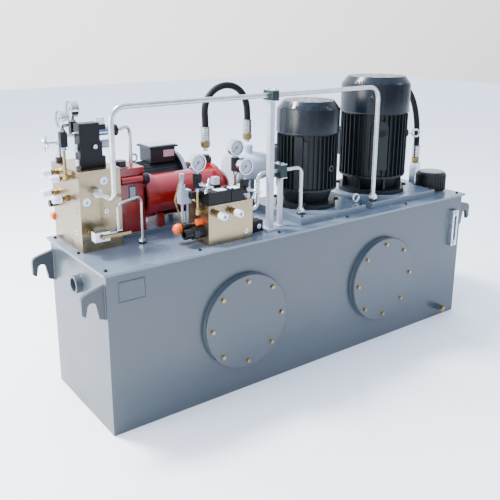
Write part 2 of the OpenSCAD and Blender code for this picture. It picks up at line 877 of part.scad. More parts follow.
module circ_motor_frame() {
  color("darkslategray") translate([circ_x0, circ_y, circ_z]) rotate([0, 90, 0]) {
    difference() {
      union() {
        cylinder(r = circ_r - 2, h = circ_l);
        for (i = [0 : 20]) {
          rotate(80 + i * 10) translate([circ_r - 8, -1.2, 34]) cube([8, 2.4, circ_l - 44]);
        }
        translate([0, 0, circ_l]) intersection() {
          cylinder(r = circ_flange_r, h = 14);
          translate([-circ_flange_r, -(circ_y - drum_y - drum_r - 3), -1])
            cube([2 * circ_flange_r, 2 * circ_flange_r, 20]);
        }
      }
      translate([0, 0, 2.5]) cylinder(r = circ_r - 5, h = 29);
      translate([0, 0, 48]) cylinder(r = circ_r - 12, h = circ_l - 78);
      translate([0, 0, 34]) cylinder(r = 26, h = 16);
      translate([0, 0, circ_l - 26]) cylinder(r = 26, h = 12);
      translate([0, 0, 20]) cylinder(r = circ_shaft_r + 2, h = circ_l);
    }
    // bell and pump beyond the flange
    translate([0, 0, circ_l + 14.1]) difference() {
      cylinder(r = circ_pump_r, h = 112);
      translate([0, 0, -1]) cylinder(r = 42, h = 52);
      translate([0, 0, 40]) cylinder(r = circ_shaft_r + run_gap, h = 40);
    }
  }
}

module circ_rotor() {
  color("gray") translate([circ_x0, circ_y, circ_z]) rotate([0, 90, 0]) {
    translate([0, 0, 6]) cylinder(r = circ_shaft_r, h = circ_l + 76);
    translate([0, 0, 54]) difference() {
      cylinder(r = circ_r - 35, h = 102);
      translate([0, 0, -1]) cylinder(r = circ_shaft_r + eps, h = 110);
    }
    translate([0, 0, 8]) difference() {
      union() {
        cylinder(r = circ_shaft_r + 8, h = 20);
        for (i = [0 : 5]) {
          rotate(i * 60) translate([circ_shaft_r + 5, -1.5, 0]) cube([circ_r - circ_shaft_r - 18, 3, 18]);
        }
      }
      translate([0, 0, -1]) cylinder(r = circ_shaft_r + eps, h = 24);
    }
    translate([0, 0, circ_l + 18]) difference() {
      cylinder(r = 34, h = 40);
      translate([0, 0, -1]) cylinder(r = circ_shaft_r + eps, h = 42);
    }
  }
}

// ---------- filter and hoses ----------

module filter_canister() {
  color("whitesmoke") translate([can_x0, can_y, can_z]) rotate([0, 90, 0]) {
    rotate_extrude() {
      translate([0, 20]) square([can_r, can_l - 40]);
      intersection() {
        translate([0, can_l - 21]) square([can_r, 21]);
        translate([can_r - 30, can_l - 21]) circle(r = 30);
      }
      translate([0, can_l - 21]) square([can_r - 30, 21]);
    }
    cylinder(r = can_r + 4, h = 22);
  }
  color("whitesmoke") translate([neck_x, can_y, can_z + can_r - 6]) cylinder(r = 24, h = 40);
}

module steel_brackets() {
  strap_t = 5;
  foot = 190;
  color("gainsboro") {
    // stand of the filter
    for (x = [can_x0 + 24, can_x0 + 82]) {
      difference() {
        block([x, can_y - 45, top], [26, 90, can_z - top]);
        rod([x - 1, can_y, can_z], can_r + 0.1, 40, 0);
      }
    }
    // foot plate under the drum, between its two saddles
    block([drum_x0 + 44, drum_y - 46, drum_z - drum_r - strap_t - 0.2], [foot, 92, strap_t]);
    for (x = [drum_x0 + 50, drum_x0 + foot + 10]) {
      block([x, drum_y - 40, base_top], [16, 80, drum_z - drum_r - strap_t - 0.2 - base_top]);
    }
  }
}

function unit3(v) = v / norm(v);
function tangent(p, i) =
  unit3(p[min(i + 1, len(p) - 1)] - p[max(i - 1, 0)]);
function side_of(t) = unit3(cross(t, abs(t[1]) < 0.8 ? [0, 1, 0] : [1, 0, 0]));

// A round tube swept along a list of points, with flat ends
module swept_hose(p, r) {
  n = hose_sides;
  rings = [for (i = [0 : len(p) - 1])
    let (t = tangent(p, i), s = side_of(t), u = cross(t, s))
    for (k = [0 : n - 1]) p[i] + r * (cos(k * 360 / n) * s + sin(k * 360 / n) * u)];
  last = (len(p) - 1) * n;
  walls = [for (i = [0 : len(p) - 2]) for (k = [0 : n - 1])
    [i * n + k, i * n + (k + 1) % n, (i + 1) * n + (k + 1) % n, (i + 1) * n + k]];
  ends = [[for (k = [0 : n - 1]) n - 1 - k], [for (k = [0 : n - 1]) last + k]];
  polyhedron(points = rings, faces = concat(walls, ends), convexity = 6);
}

module hose_loop() {
  color("black") swept_hose(hose_a, hose_r);
}

module hose_rear() {
  color("black") swept_hose(hose_b, hose_r);
}

// A crimped ferrule with a hexagon below it, its hose end at the origin and running down
module hose_end(ferrule, tail) {
  translate([0, 0, -ferrule]) cylinder(r = hose_r + 4, h = ferrule - 0.05);
  translate([0, 0, -ferrule - 6]) cylinder(r = hose_r - 3, h = 7);
  translate([0, 0, -ferrule - tail]) cylinder(r = hose_r - 5, h = tail);
}

function first(p) = p[0];
function last_of(p) = p[len(p) - 1];
ferrule_h = 62;
loop_l_foot = 936;

module hose_fittings() {
  color("silver") {
    translate(first(hose_a)) hose_end(ferrule_h, 44);
    translate(last_of(hose_a)) hose_end(ferrule_h, 40);
    translate(first(hose_b)) hose_end(ferrule_h, 30);
    translate(last_of(hose_b)) hose_end(ferrule_h, 30);
    for (p = [first(hose_b), last_of(hose_b)]) {
      translate([p[0], p[1], top]) cylinder(r = 26, h = 14);
      translate([p[0] - 22, p[1] - 18, top + 14]) cube([44, 36, p[2] - ferrule_h - 30 - top - 14]);
    }
  }
}

// ---------- manifolds and valves ----------

module manifold_left() {
  color("tan") difference() {
    block([ml_x0, ml_y0, top], [man_l_x, man_l_y, man_l_z]);
    for (p = plug_l_front) {
      rod([p[0], ml_y0 - 1, p[1]], p[2], 13, 1);
    }
    for (p = plug_l_left) {
      rod([ml_x0 - 1, p[0], p[1]], p[2], 13, 0);
    }
    rod([rear_bore_x, ml_y1 - rear_bore_l, top + 200], rear_bore_r, rear_bore_l + 1, 1);
  }
}

// Sunk plugs: along X and up from the lid on the front face, along Y and up on the left face
plug_l_front = [
  [ml_x0 + 101, ml_top - 44, 17], [ml_x0 + 27, ml_top - 118, 17], [ml_x0 + 106, ml_top - 164, 10]];
plug_l_left = [
  [ml_y0 + 50, top + 71, 15], [ml_y0 + 240, top + 14, 6], [ml_y0 + 37, top + 151, 6]];
plug_f_front = [[mf_x1 - 31, top + 31, 11]];
rear_bore_r = 12;
rear_bore_l = 30;
rear_bore_x = ml_x0 + 110;

module manifold_front() {
  color("tan") difference() {
    block([mf_x0, mf_y0, top], [man_f_x, man_f_y, man_f_z]);
    for (p = plug_f_front) {
      rod([p[0], mf_y0 - 1, p[1]], p[2], 13, 1);
    }
    rod([mf_x0 - 1, adapter_y, adapter_z], adapter_bore_r, 31, 0);
  }
}

module plug_disc(r) {
  difference() {
    cylinder(r = r - 0.05, h = 12.5);
    translate([0, 0, 6]) hex_prism(0.45 * r, 10);
  }
}

module block_plugs() {
  color("lightgray") {
    for (p = plug_l_front) {
      translate([p[0], ml_y0 + 12, p[1]]) rotate([90, 0, 0]) plug_disc(p[2]);
    }
    for (p = plug_l_left) {
      translate([ml_x0 + 12, p[0], p[1]]) rotate([0, -90, 0]) plug_disc(p[2]);
    }
    for (p = plug_f_front) {
      translate([p[0], mf_y0 + 12, p[1]]) rotate([90, 0, 0]) plug_disc(p[2]);
    }
  }
}

stack_x0 = ml_x0 + 33;
stack_y0 = ml_y0 + 46;
stack_d = 50;
stack_mid = stack_y0 + stack_d / 2;
stack_end_z = ml_top + 133;
stack_knob_z = ml_top + 84;
stack_coil_r = 17;

module valve_stack_left() {
  color("black") {
    block([stack_x0, stack_y0, ml_top], [102, stack_d, 42]);
    block([stack_x0, stack_y0, ml_top + 42.1], [90, stack_d, 56]);
    block([stack_x0, stack_y0, ml_top + 98.2], [82, stack_d, 72]);
    // end coil with its round knob
    rod([stack_x0 + 82.1, stack_mid, stack_end_z], stack_coil_r, 62, 0);
    rod([stack_x0 + 144.2, stack_mid, stack_end_z], 22, 18, 0);
    rod([stack_x0 + 90.1, stack_mid, stack_knob_z], 16, 50, 0);
    // plug connector on the end coil
    difference() {
      block([stack_x0 + 84, stack_mid - 16, stack_end_z + 8], [28, 32, 20]);
      rod([stack_x0 + 83, stack_mid, stack_end_z], stack_coil_r + 0.05, 30, 0);
    }
    block([stack_x0 + 86, stack_mid - 14, stack_end_z + 28.1], [24, 28, 26]);
    // screw cap on the near face
    rod([stack_x0 + 60, stack_y0 - 4, ml_top + 76], 12, 4, 1);
  }
}

valve_f_h = 50;
valve_f_top = mf_top + valve_f_h;
coil_l = 82;

module valves_front() {
  color("black") {
    block([mf_x0 + 5, mf_y0 + 4, mf_top], [104, 104, valve_f_h]);
    block([mf_x0 + 112, mf_y0 + 4, mf_top], [60, 62, valve_f_h]);
    block([mf_x0 + 112, mf_y0 + 70, mf_top], [60, 38, valve_f_h - 8]);
    // end coil on the left
    rod([mf_x0 - 38, mf_y0 + 72, mf_top + 34], 15, 42.9, 0);
    // plug connector
    block([mf_x0 + 68, mf_y0 + 66, valve_f_top + 0.1], [34, 30, 12]);
    block([mf_x0 + 71, mf_y0 + 69, valve_f_top + 12.2], [28, 24, 30]);
    // coil on the right-hand end of the manifold
    difference() {
      block([mf_x1 + 0.1, mf_y0 + 36, top + 4], [coil_l, 46, 46]);
      rod([mf_x1 + coil_l - 12, mf_y0 + 59, top + 27], pin_r + run_gap, 13, 0);
    }
    rod([mf_x1 + 58, mf_y0 + 30, top + 27], 11, 5.9, 1);
  }
}

pin_r = 4;
pin_out = 6;

module override_pin() {
  color("silver") rod([mf_x1 + coil_l - 6, mf_y0 + 59, top + 27], pin_r, 6.1 + pin_out, 0);
}

adapter_y = mf_y0 + 46;
adapter_z = top + 50;
adapter_bore_r = 14;
port2_y = mf_y0 + 106;
port2_z = top + 58;

module black_fittings() {
  color("black") {
    difference() {
      union() {
        rod([mf_x0 - 86, adapter_y, adapter_z], 20, 40, 0);
        translate([mf_x0 - 50, adapter_y, adapter_z]) rotate([0, 90, 0]) hex_prism(27, 24);
        rod([mf_x0 - 26, adapter_y, adapter_z], 24, 25.9, 0);
      }
      rod([mf_x0 - 87, adapter_y, adapter_z], adapter_bore_r, 90, 0);
    }
    // second port, under the relief valve
    rod([mf_x0 - 68, port2_y, port2_z], 15, 67.9, 0);
    // plugs and a cap of the left manifold
    rod([ml_x0 - 34, ml_y0 + 232, top + 152], 14, 33.9, 0);
    // filler plug of the circulation unit and the round end of its bar
    translate([base_x0 + 57, box_y0 + 45, box_top + 0.1]) {
      cylinder(r = 27, h = 5);
      translate([0, 0, 5]) hex_prism(26, 22);
    }
    difference() {
      rod([base_x0 + 125.1, bar_y, bar_z], 22, 24, 0);
      block([base_x0, box_y0 - 0.1, base_top], [box_x + 0.1, box_y, box_h + 1]);
      rod([box_x1 - 1, drum_y, drum_z], flange_a_r + 0.1, flange_a + 1, 0);
    }
    // check valve under the loop's left end
    translate([drum_x1 + 12, drum_y + 34, drum_z + flange_b_r - 14]) difference() {
      cylinder(r = 26, h = loop_l_foot - 18 - drum_z - flange_b_r + 14);
      translate([-60, -34, -(flange_b_r - 14)]) rotate([0, 90, 0])
        cylinder(r = flange_b_r + 0.1, h = 120);
    }
    translate([drum_x1 + 12, drum_y + 34, loop_l_foot - 18]) cylinder(r = 18, h = 10);
  }
}

cap_white_r = 15;
// Test points: on the left manifold's left face and on the front manifold's front face
test_left = [[211, -33], [128, -42], [227, -117], [113, -120]];
test_front = [37, 112];
test_z = top + 127;

module port_caps_white() {
  color("white") {
    for (p = test_left) {
      rod([ml_x0 - 62, ml_y0 + p[0], ml_top + p[1]], cap_white_r, 34, 0);
    }
    for (x = test_front) {
      rod([mf_x0 + x, mf_y0 - 62, test_z], cap_white_r, 34, 1);
    }
  }
}

module port_caps_orange() {
  color("orangered") {
    translate([mf_x0 - 68.1, port2_y, port2_z]) rotate([0, -90, 0]) {
      cylinder(r = 22, h = 10);
      translate([0, 0, 10]) intersection() {
        sphere(r = 22);
        cylinder(r = 30, h = 30);
      }
    }
    rod([mf_x0 - 22, mf_y0 + 56, top + 89], 14, 21.9, 0);
    rod([ml_x0 + 4, ml_y1 + 0.1, top + 83], 16, 26, 1);
  }
}

module brass_fittings() {
  color("darkgoldenrod") {
    // adapters behind the white caps
    for (p = test_left) {
      translate([ml_x0 - 27.9, ml_y0 + p[0], ml_top + p[1]]) rotate([0, 90, 0]) {
        cylinder(r = 9, h = 27.8);
        translate([0, 0, 14]) hex_prism(14, 12);
      }
    }
    for (x = test_front) {
      translate([mf_x0 + x, mf_y0 - 27.9, test_z]) rotate([-90, 0, 0]) {
        cylinder(r = 9, h = 27.8);
        translate([0, 0, 14]) hex_prism(14, 12);
      }
    }
    // drain plug
    translate([drain_x, front - drain_l - 14.1, drain_z]) rotate([-90, 0, 0]) hex_prism(16, 14);
    // risers of the gauges
    for (i = [0, 2]) {
      g = gauges[i];
      z0 = i == 0 ? ml_top - 28 : mf_top - 30;
      face = i == 0 ? ml_x0 : mf_x0;
      translate([g[0], g[1], z0]) cylinder(r = 6, h = g[4] - valve_h / 2 - z0 - 0.1);
      translate([g[0], g[1], z0 - 11]) cylinder(r = 11, h = 22);
      rod([g[0], g[1], z0], 8, face - g[0] - 0.1, 0);
    }
    for (i = [3, 4]) {
      g = gauges[i];
      translate([g[0], g[1], mf_top + 0.1]) {
        cylinder(r = 6, h = g[4] - valve_h / 2 - mf_top - 0.2);
        hex_prism(13, 14);
      }
    }
    // nipple that joins the second gauge's valve to the stack
    rod([gauges[1][0], stack_y0 + stack_d + 0.1, gauges[1][4]], 7,
      gauges[1][1] - valve_w / 2 - stack_y0 - stack_d - 0.2, 1);
    // gauge stems
    for (g = gauges) {
      translate([g[0], g[1], g[4] + valve_h / 2 + 0.1])
        cylinder(r = 7, h = g[2] - gauge_r + 2 - g[4] - valve_h / 2);
    }
    // fittings of the mini ball valve
    rod([ball_x, ball_y + ball_s / 2 + 0.1, ball_z], 8, ml_y0 - ball_y - ball_s / 2 - 0.2, 1);
    translate([ball_x, ml_y0 - 0.1, ball_z]) rotate([90, 0, 0]) hex_prism(13, 14);
  }
}

// ---------- gauges ----------

module at_gauge(i) {
  g = gauges[i];
  translate([g[0], g[1], g[2]]) rotate(g[3]) translate([0, -stem_back, 0]) children();
}

module gauge_case() {
  rotate([-90, 0, 0]) difference() {
    cylinder(r = gauge_r, h = gauge_t);
    translate([0, 0, -1]) cylinder(r = gauge_r - 3, h = dial_in + 1);
    translate([0, 0, dial_in - 1]) cylinder(r = 1.5 + run_gap, h = 8);
  }
}

module gauge_cases() {
  color("gainsboro") difference() {
    for (i = [0 : 4]) {
      at_gauge(i) gauge_case();
    }
    for (g = gauges) {
      translate([g[0], g[1], g[2] - gauge_r - 5]) cylinder(r = 7.1, h = 8);
    }
  }
}

module gauge_lenses() {
  color("lightcyan") for (i = [0 : 4]) {
    at_gauge(i) rotate([-90, 0, 0]) translate([0, 0, 0.6]) cylinder(r = gauge_r - 3.05, h = 2);
  }
}

needle_rest = 135;

// A pointer at zero, lower left as seen from the front
module needle() {
  rotate([-90, 0, 0]) {
    translate([0, 0, dial_in - 3]) cylinder(r = 3, h = 1.4);
    translate([0, 0, dial_in - 1.7]) cylinder(r = 1.5, h = 7);
    translate([0, 0, dial_in - 2.9]) rotate(needle_rest) linear_extrude(1)
      polygon([[-9, -1.4], [-9, 1.4], [gauge_r - 10, 0.5], [gauge_r - 10, -0.5]]);
  }
}

module needle_a() { color("black") at_gauge(0) needle(); }
module needle_b() { color("black") at_gauge(1) needle(); }
module needle_c() { color("black") at_gauge(2) needle(); }
module needle_d() { color("black") at_gauge(3) needle(); }
module needle_e() { color("black") at_gauge(4) needle(); }

module gauge_valves() {
  color("black") difference() {
    for (g = gauges) {
      translate([g[0] - valve_w / 2, g[1] - valve_w / 2, g[4] - valve_h / 2])
        cube([valve_w, valve_w, valve_h]);
    }
    for (i = [0, 2, 3]) {
      translate([gauges[i][0], gauges[i][1], gauges[i][4] - 8]) rotate(gauges[i][3])
        rotate([90, 0, 0]) cylinder(r = spindle_r + run_gap, h = valve_w);
    }
  }
}

// A star handle on its spindle, the spindle's inner end at the origin and running to -Y
module star_handle() {
  rotate([90, 0, 0]) {
    translate([0, 0, 0.2]) cylinder(r = spindle_r, h = spindle_l + 14);
    translate([0, 0, valve_w / 2 + 4]) hex_prism(9, 8);
    translate([0, 0, spindle_l]) {
      cylinder(r = 9, h = 18);
      for (i = [0 : 3]) {
        rotate(i * 90 + 20) translate([0, 0, 9]) rotate([0, 90, 0]) cylinder(r = 5, h = handle_r);
      }
    }
  }
}

module at_valve(i) {
  translate([gauges[i][0], gauges[i][1], gauges[i][4] - 8]) rotate(gauges[i][3]) children();
}

module handle_a() { color("silver") at_valve(0) star_handle(); }
module handle_c() { color("silver") at_valve(2) star_handle(); }
module handle_d() { color("silver") at_valve(3) star_handle(); }

relief_x = mf_x0 - 55;
relief_z = top + 160;

module relief_valve() {
  color("darkgray") {
    for (x = [relief_x, relief_x + 24]) {
      translate([x, port2_y, port2_z + 15.05]) cylinder(r = 5, h = relief_z - port2_z - 15.05);
    }
    translate([relief_x - 14, port2_y - 17, relief_z]) cube([48, 34, 54]);
    translate([relief_x, port2_y, relief_z + 54]) {
      hex_prism(15, 22);
      cylinder(r = 8, h = 62);
      translate([0, 0, 40]) cylinder(r = 10, h = 26);
    }
  }
}

// ---------- pipes and clamps ----------

ball_x = ml_x0 + 33;
ball_y = ml_y0 - 74;
ball_z = top + 81;
ball_s = 36;
ball_pin_r = 3.5;
loop_x0 = ball_x + 84;
loop_x1 = left + 273;
loop_y1 = front + 237;
loop_h = top + 192;

// A pipe that runs through a list of corners, its bends of one radius where the turns are square
module overhead_pipe() {
  b = pipe_bend;
  y1 = pipe_y + 40;
  rod([pipe_x0, y1, pipe_port_z], pipe_r, ml_y0 - y1 - 0.1, 1);
  bend([pipe_x0, y1, pipe_port_z + 40], [-90, 0, -90], 40, pipe_r);
  rod([pipe_x0, pipe_y, pipe_port_z + 40], pipe_r, pipe_z - b - pipe_port_z - 40, 2);
  bend([pipe_x0 + b, pipe_y, pipe_z - b], [90, -90, 0], b, pipe_r);
  rod([pipe_x0 + b, pipe_y, pipe_z], pipe_r, pipe_x1 - pipe_x0 - 2 * b, 0);
  bend([pipe_x1 - b, pipe_y, pipe_z - b], [90, 0, 0], b, pipe_r);
  rod([pipe_x1, pipe_y, plate_top + 0.1], pipe_r, pipe_z - b - plate_top - 0.1, 2);
}

module short_pipe() {
  b = 28;
  low = top + 97;
  r = tube_r;
  rod([pipe2_x1, pipe2_y, plate_top + 0.1], r, pipe2_z - b - plate_top - 0.1, 2);
  bend([pipe2_x1 - b, pipe2_y, pipe2_z - b], [90, 0, 0], b, r);
  rod([pipe2_x0 + b, pipe2_y, pipe2_z], r, pipe2_x1 - pipe2_x0 - 2 * b, 0);
  bend([pipe2_x0 + b, pipe2_y, pipe2_z - b], [90, -90, 0], b, r);
  rod([pipe2_x0, pipe2_y, low + b], r, pipe2_z - 2 * b - low, 2);
  bend([pipe2_x0 - b, pipe2_y, low + b], [-90, 0, 0], b, r);
  rod([mf_x1 + 0.1, pipe2_y, low], r, pipe2_x0 - b - mf_x1 - 0.1, 0);
}

// The small arch from the mini ball valve to the lid, in a plane that is turned about Z
module arch_tube() {
  dx = loop_x1 - loop_x0;
  dy = loop_y1 - ball_y;
  span = norm([dx, dy]);
  b = 26;
  translate([loop_x0, ball_y, 0]) rotate(atan2(dy, dx)) {
    rod([0, 0, ball_z + 14], tube2_r, loop_h - b - ball_z - 14, 2);
    bend([b, 0, loop_h - b], [90, -90, 0], b, tube2_r);
    rod([b, 0, loop_h], tube2_r, span - 2 * b, 0);
    bend([span - b, 0, loop_h - b], [90, 0, 0], b, tube2_r);
    rod([span, 0, top + 0.1], tube2_r, loop_h - b - top - 0.1, 2);
  }
}

// The tube from the stack's knob to the top of the circulation unit
module stack_tube() {
  x0 = stack_x0 + 162.3;
  y0 = stack_mid;
  x1 = base_x0 + 113;
  y1 = box_y0 + 62;
  b = 45;
  span = norm([x1 - x0, y1 - y0]);
  translate([x0, y0, 0]) rotate(atan2(y1 - y0, x1 - x0)) {
    rod([8, 0, stack_end_z], tube_r, span - b - 8, 0);
    bend([span - b, 0, stack_end_z - b], [90, 0, 0], b, tube_r);
    rod([span, 0, box_top + 0.1], tube_r, stack_end_z - b - box_top - 0.1, 2);
  }
}

module pipes() {
  color("silver") {
    overhead_pipe();
    short_pipe();
    arch_tube();
    stack_tube();
  }
}

// A round fitting with a hexagon on it, bored for a pipe, standing on the origin
module pipe_nut(r, h) {
  difference() {
    union() {
      cylinder(r = r + 6, h = h);
      translate([0, 0, h * 0.3]) hex_prism(r + 10, h * 0.45);
    }
    translate([0, 0, -1]) cylinder(r = r + 0.05, h = h + 2);
  }
}

module steel_fittings() {
  color("silver") {
    translate([pipe_x0, ml_y0 - 0.1, pipe_port_z]) rotate([90, 0, 0]) pipe_nut(pipe_r, 34);
    translate([pipe_x1, pipe_y, plate_top + 0.1]) pipe_nut(pipe_r, 34);
    translate([pipe2_x1, pipe2_y, plate_top + 0.1]) pipe_nut(tube_r, 30);
    translate([mf_x1 + 0.1, pipe2_y, top + 97]) rotate([0, 90, 0]) pipe_nut(tube_r, 26);
    translate([loop_x1, loop_y1, top + 0.1]) pipe_nut(tube2_r, 22);
    // body of the mini ball valve and its outlet elbow
    difference() {
      translate([ball_x - ball_s / 2, ball_y - ball_s / 2, ball_z - ball_s / 2])
        cube([ball_s + 22, ball_s, ball_s]);
      rod([ball_x + 10, ball_y - ball_s / 2 - 1, ball_z], ball_pin_r + run_gap, 16, 1);
    }
    rod([ball_x + ball_s / 2 + 22.1, ball_y, ball_z], 9, loop_x0 - ball_x - ball_s / 2 - 33, 0);
    translate([loop_x0 - 11, ball_y - 11, ball_z - 11]) cube([22, 22, 25]);
  }
}

lever_l = 122;
lever_h = 11;

module ball_lever() {
  y = ball_y - ball_s / 2;
  color("darkkhaki") {
    rod([ball_x + 10, y - 12, ball_z], ball_pin_r, 22, 1);
    translate([ball_x + 10, y - 12, ball_z]) rotate([-90, 0, 0]) hex_prism(9, 5);
    difference() {
      block([ball_x + 2, y - 6.9, ball_z - lever_h / 2], [lever_l, 4, lever_h]);
      rod([ball_x + 10, y - 8, ball_z], ball_pin_r + eps, 6, 1);
    }
  }
}

module clamp_posts() {
  color("lightslategray") {
    block([post_x - post_half, pipe_y - post_half, top + 8],
      [2 * post_half, 2 * post_half, pipe_z - 19 - top - 8.1]);
    block([post_x - 30, pipe_y - 30, top + 0.1], [60, 60, 7.9]);
    block([post2_x - 9, pipe2_y - 9, top + 6], [18, 18, pipe2_z - 27 - top - 6.1]);
    block([post2_x - 22, pipe2_y - 22, top + 0.1], [44, 44, 5.9]);
  }
}

// A two-part pipe clamp on a steel plate, its pipe along X through the origin
module pipe_clamp(r, w, d, h) {
  difference() {
    translate([-w / 2, -d / 2, -h / 2]) cube([w, d, h - 0.1]);
    translate([-w, 0, 0]) rotate([0, 90, 0]) cylinder(r = r + 0.1, h = 2 * w);
  }
  translate([-w / 2, -d / 2, h / 2]) cube([w, d, 4]);
  for (y = [-d / 2 + 9, d / 2 - 9]) {
    translate([0, y, h / 2 + 4]) hex_prism(6, 5);
  }
}

module clamp_blocks() {
  color("darkgreen") {
    translate([post_x, pipe_y, pipe_z]) pipe_clamp(pipe_r, 32, 64, 38);
    translate([post2_x, pipe2_y, pipe2_z]) pipe_clamp(tube_r, 34, 50, 54);
  }
}

// ---------- the whole unit ----------

tank_shell();
tank_baffle();
welded_fittings();
gaskets();
clean_out_covers();
cover_bolts();
lid_plate();
black_screws();
lifting_lugs();
level_gauge_body();
level_gauge_tube();
breather_neck();
breather_cap();
mounting_plates();
motor_frame_small();
motor_frame_large();
motor_internals();
fan_covers();
terminal_boxes();
eye_bolts();
rotor_small();
rotor_large();
immersed_pumps();
suction_strainers();
circ_base();
circ_housing();
circ_motor_frame();
circ_rotor();
filter_canister();
steel_brackets();
hose_loop();
hose_rear();
hose_fittings();
manifold_left();
manifold_front();
valve_stack_left();
valves_front();
override_pin();
block_plugs();
black_fittings();
port_caps_white();
port_caps_orange();
gauge_cases();
gauge_lenses();
needle_a();
needle_b();
needle_c();
needle_d();
needle_e();
gauge_valves();
handle_a();
handle_c();
handle_d();
relief_valve();
brass_fittings();
pipes();
steel_fittings();
ball_lever();
clamp_posts();
clamp_blocks();
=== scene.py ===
"""Looks of a hydraulic power unit: finishes, hoses and detailed pieces around its fixed CAD frame.

Everything is in metres in the CAD frame: +X along the tank, +Z up, -Y towards the clean-out covers.
"""
import json
import logging
from collections.abc import Callable
from dataclasses import dataclass, field, replace
from enum import Enum
from math import cos, pi, radians, sin

import bmesh
import bpy
from mathutils import Matrix, Vector


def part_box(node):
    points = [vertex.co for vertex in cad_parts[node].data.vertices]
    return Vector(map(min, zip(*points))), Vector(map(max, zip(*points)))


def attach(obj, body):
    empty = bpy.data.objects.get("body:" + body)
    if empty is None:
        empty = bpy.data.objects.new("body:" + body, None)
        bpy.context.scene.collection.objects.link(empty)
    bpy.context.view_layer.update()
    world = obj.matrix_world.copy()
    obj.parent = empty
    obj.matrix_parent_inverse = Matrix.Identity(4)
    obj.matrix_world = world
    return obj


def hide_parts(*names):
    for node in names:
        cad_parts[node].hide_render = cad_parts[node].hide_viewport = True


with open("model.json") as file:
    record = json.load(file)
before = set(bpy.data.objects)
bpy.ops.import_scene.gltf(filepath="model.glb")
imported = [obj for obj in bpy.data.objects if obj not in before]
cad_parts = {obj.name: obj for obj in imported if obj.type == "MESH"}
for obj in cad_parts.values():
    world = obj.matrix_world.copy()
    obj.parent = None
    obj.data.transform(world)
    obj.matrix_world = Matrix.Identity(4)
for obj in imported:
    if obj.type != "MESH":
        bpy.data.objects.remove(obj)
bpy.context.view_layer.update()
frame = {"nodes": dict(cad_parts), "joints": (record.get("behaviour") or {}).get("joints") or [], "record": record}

ROOT = "unit"
MM = 0.001
# Vertices nearer than this are one
MERGE = 2e-6
# Noise values where the broad pattern is darkest and lightest
NOISE_SPAN = (0.3, 0.7)
COAT_ROUGHNESS = 0.12
BUMP_STRENGTH = 0.6
# Full weight of the faces' areas in the shading, which keeps flat faces flat
AREA_WEIGHT = 100
log = logging.getLogger("power_unit")


def linear(hex_colour: str) -> tuple[float, float, float, float]:
    """Turns an sRGB hex colour to linear values.

    Args:
        hex_colour: six hex digits.

    Returns:
        Red, green, blue and an alpha of 1.
    """
    parts = [int(hex_colour[i:i + 2], 16) / 255 for i in (0, 2, 4)]
    red, green, blue = [c / 12.92 if c <= 0.04045 else ((c + 0.055) / 1.055) ** 2.4 for c in parts]
    return red, green, blue, 1.0


def add_node(tree: bpy.types.NodeTree, kind: str, settings: dict | None = None,
             links: dict | None = None) -> bpy.types.Node:
    """Adds a shader node.

    Args:
        tree: the material's or world's node tree.
        kind: Blender's name of the node's type.
        settings: attributes by name, and input values by socket name or number.
        links: output sockets by the input that they feed.

    Returns:
        The new node.
    """
    node = tree.nodes.new(kind)
    for key, value in (settings or {}).items():
        if isinstance(key, str) and hasattr(node, key):
            setattr(node, key, value)
        else:
            node.inputs[key].default_value = value
    for key, socket in (links or {}).items():
        tree.links.new(socket, node.inputs[key])
    return node


class Grain(Enum):
    """How a surface was made, as the three scales of its fine pattern along X, Y and Z."""

    EVEN = (1.0, 1.0, 1.0)
    ALONG_X = (0.04, 1.0, 1.0)


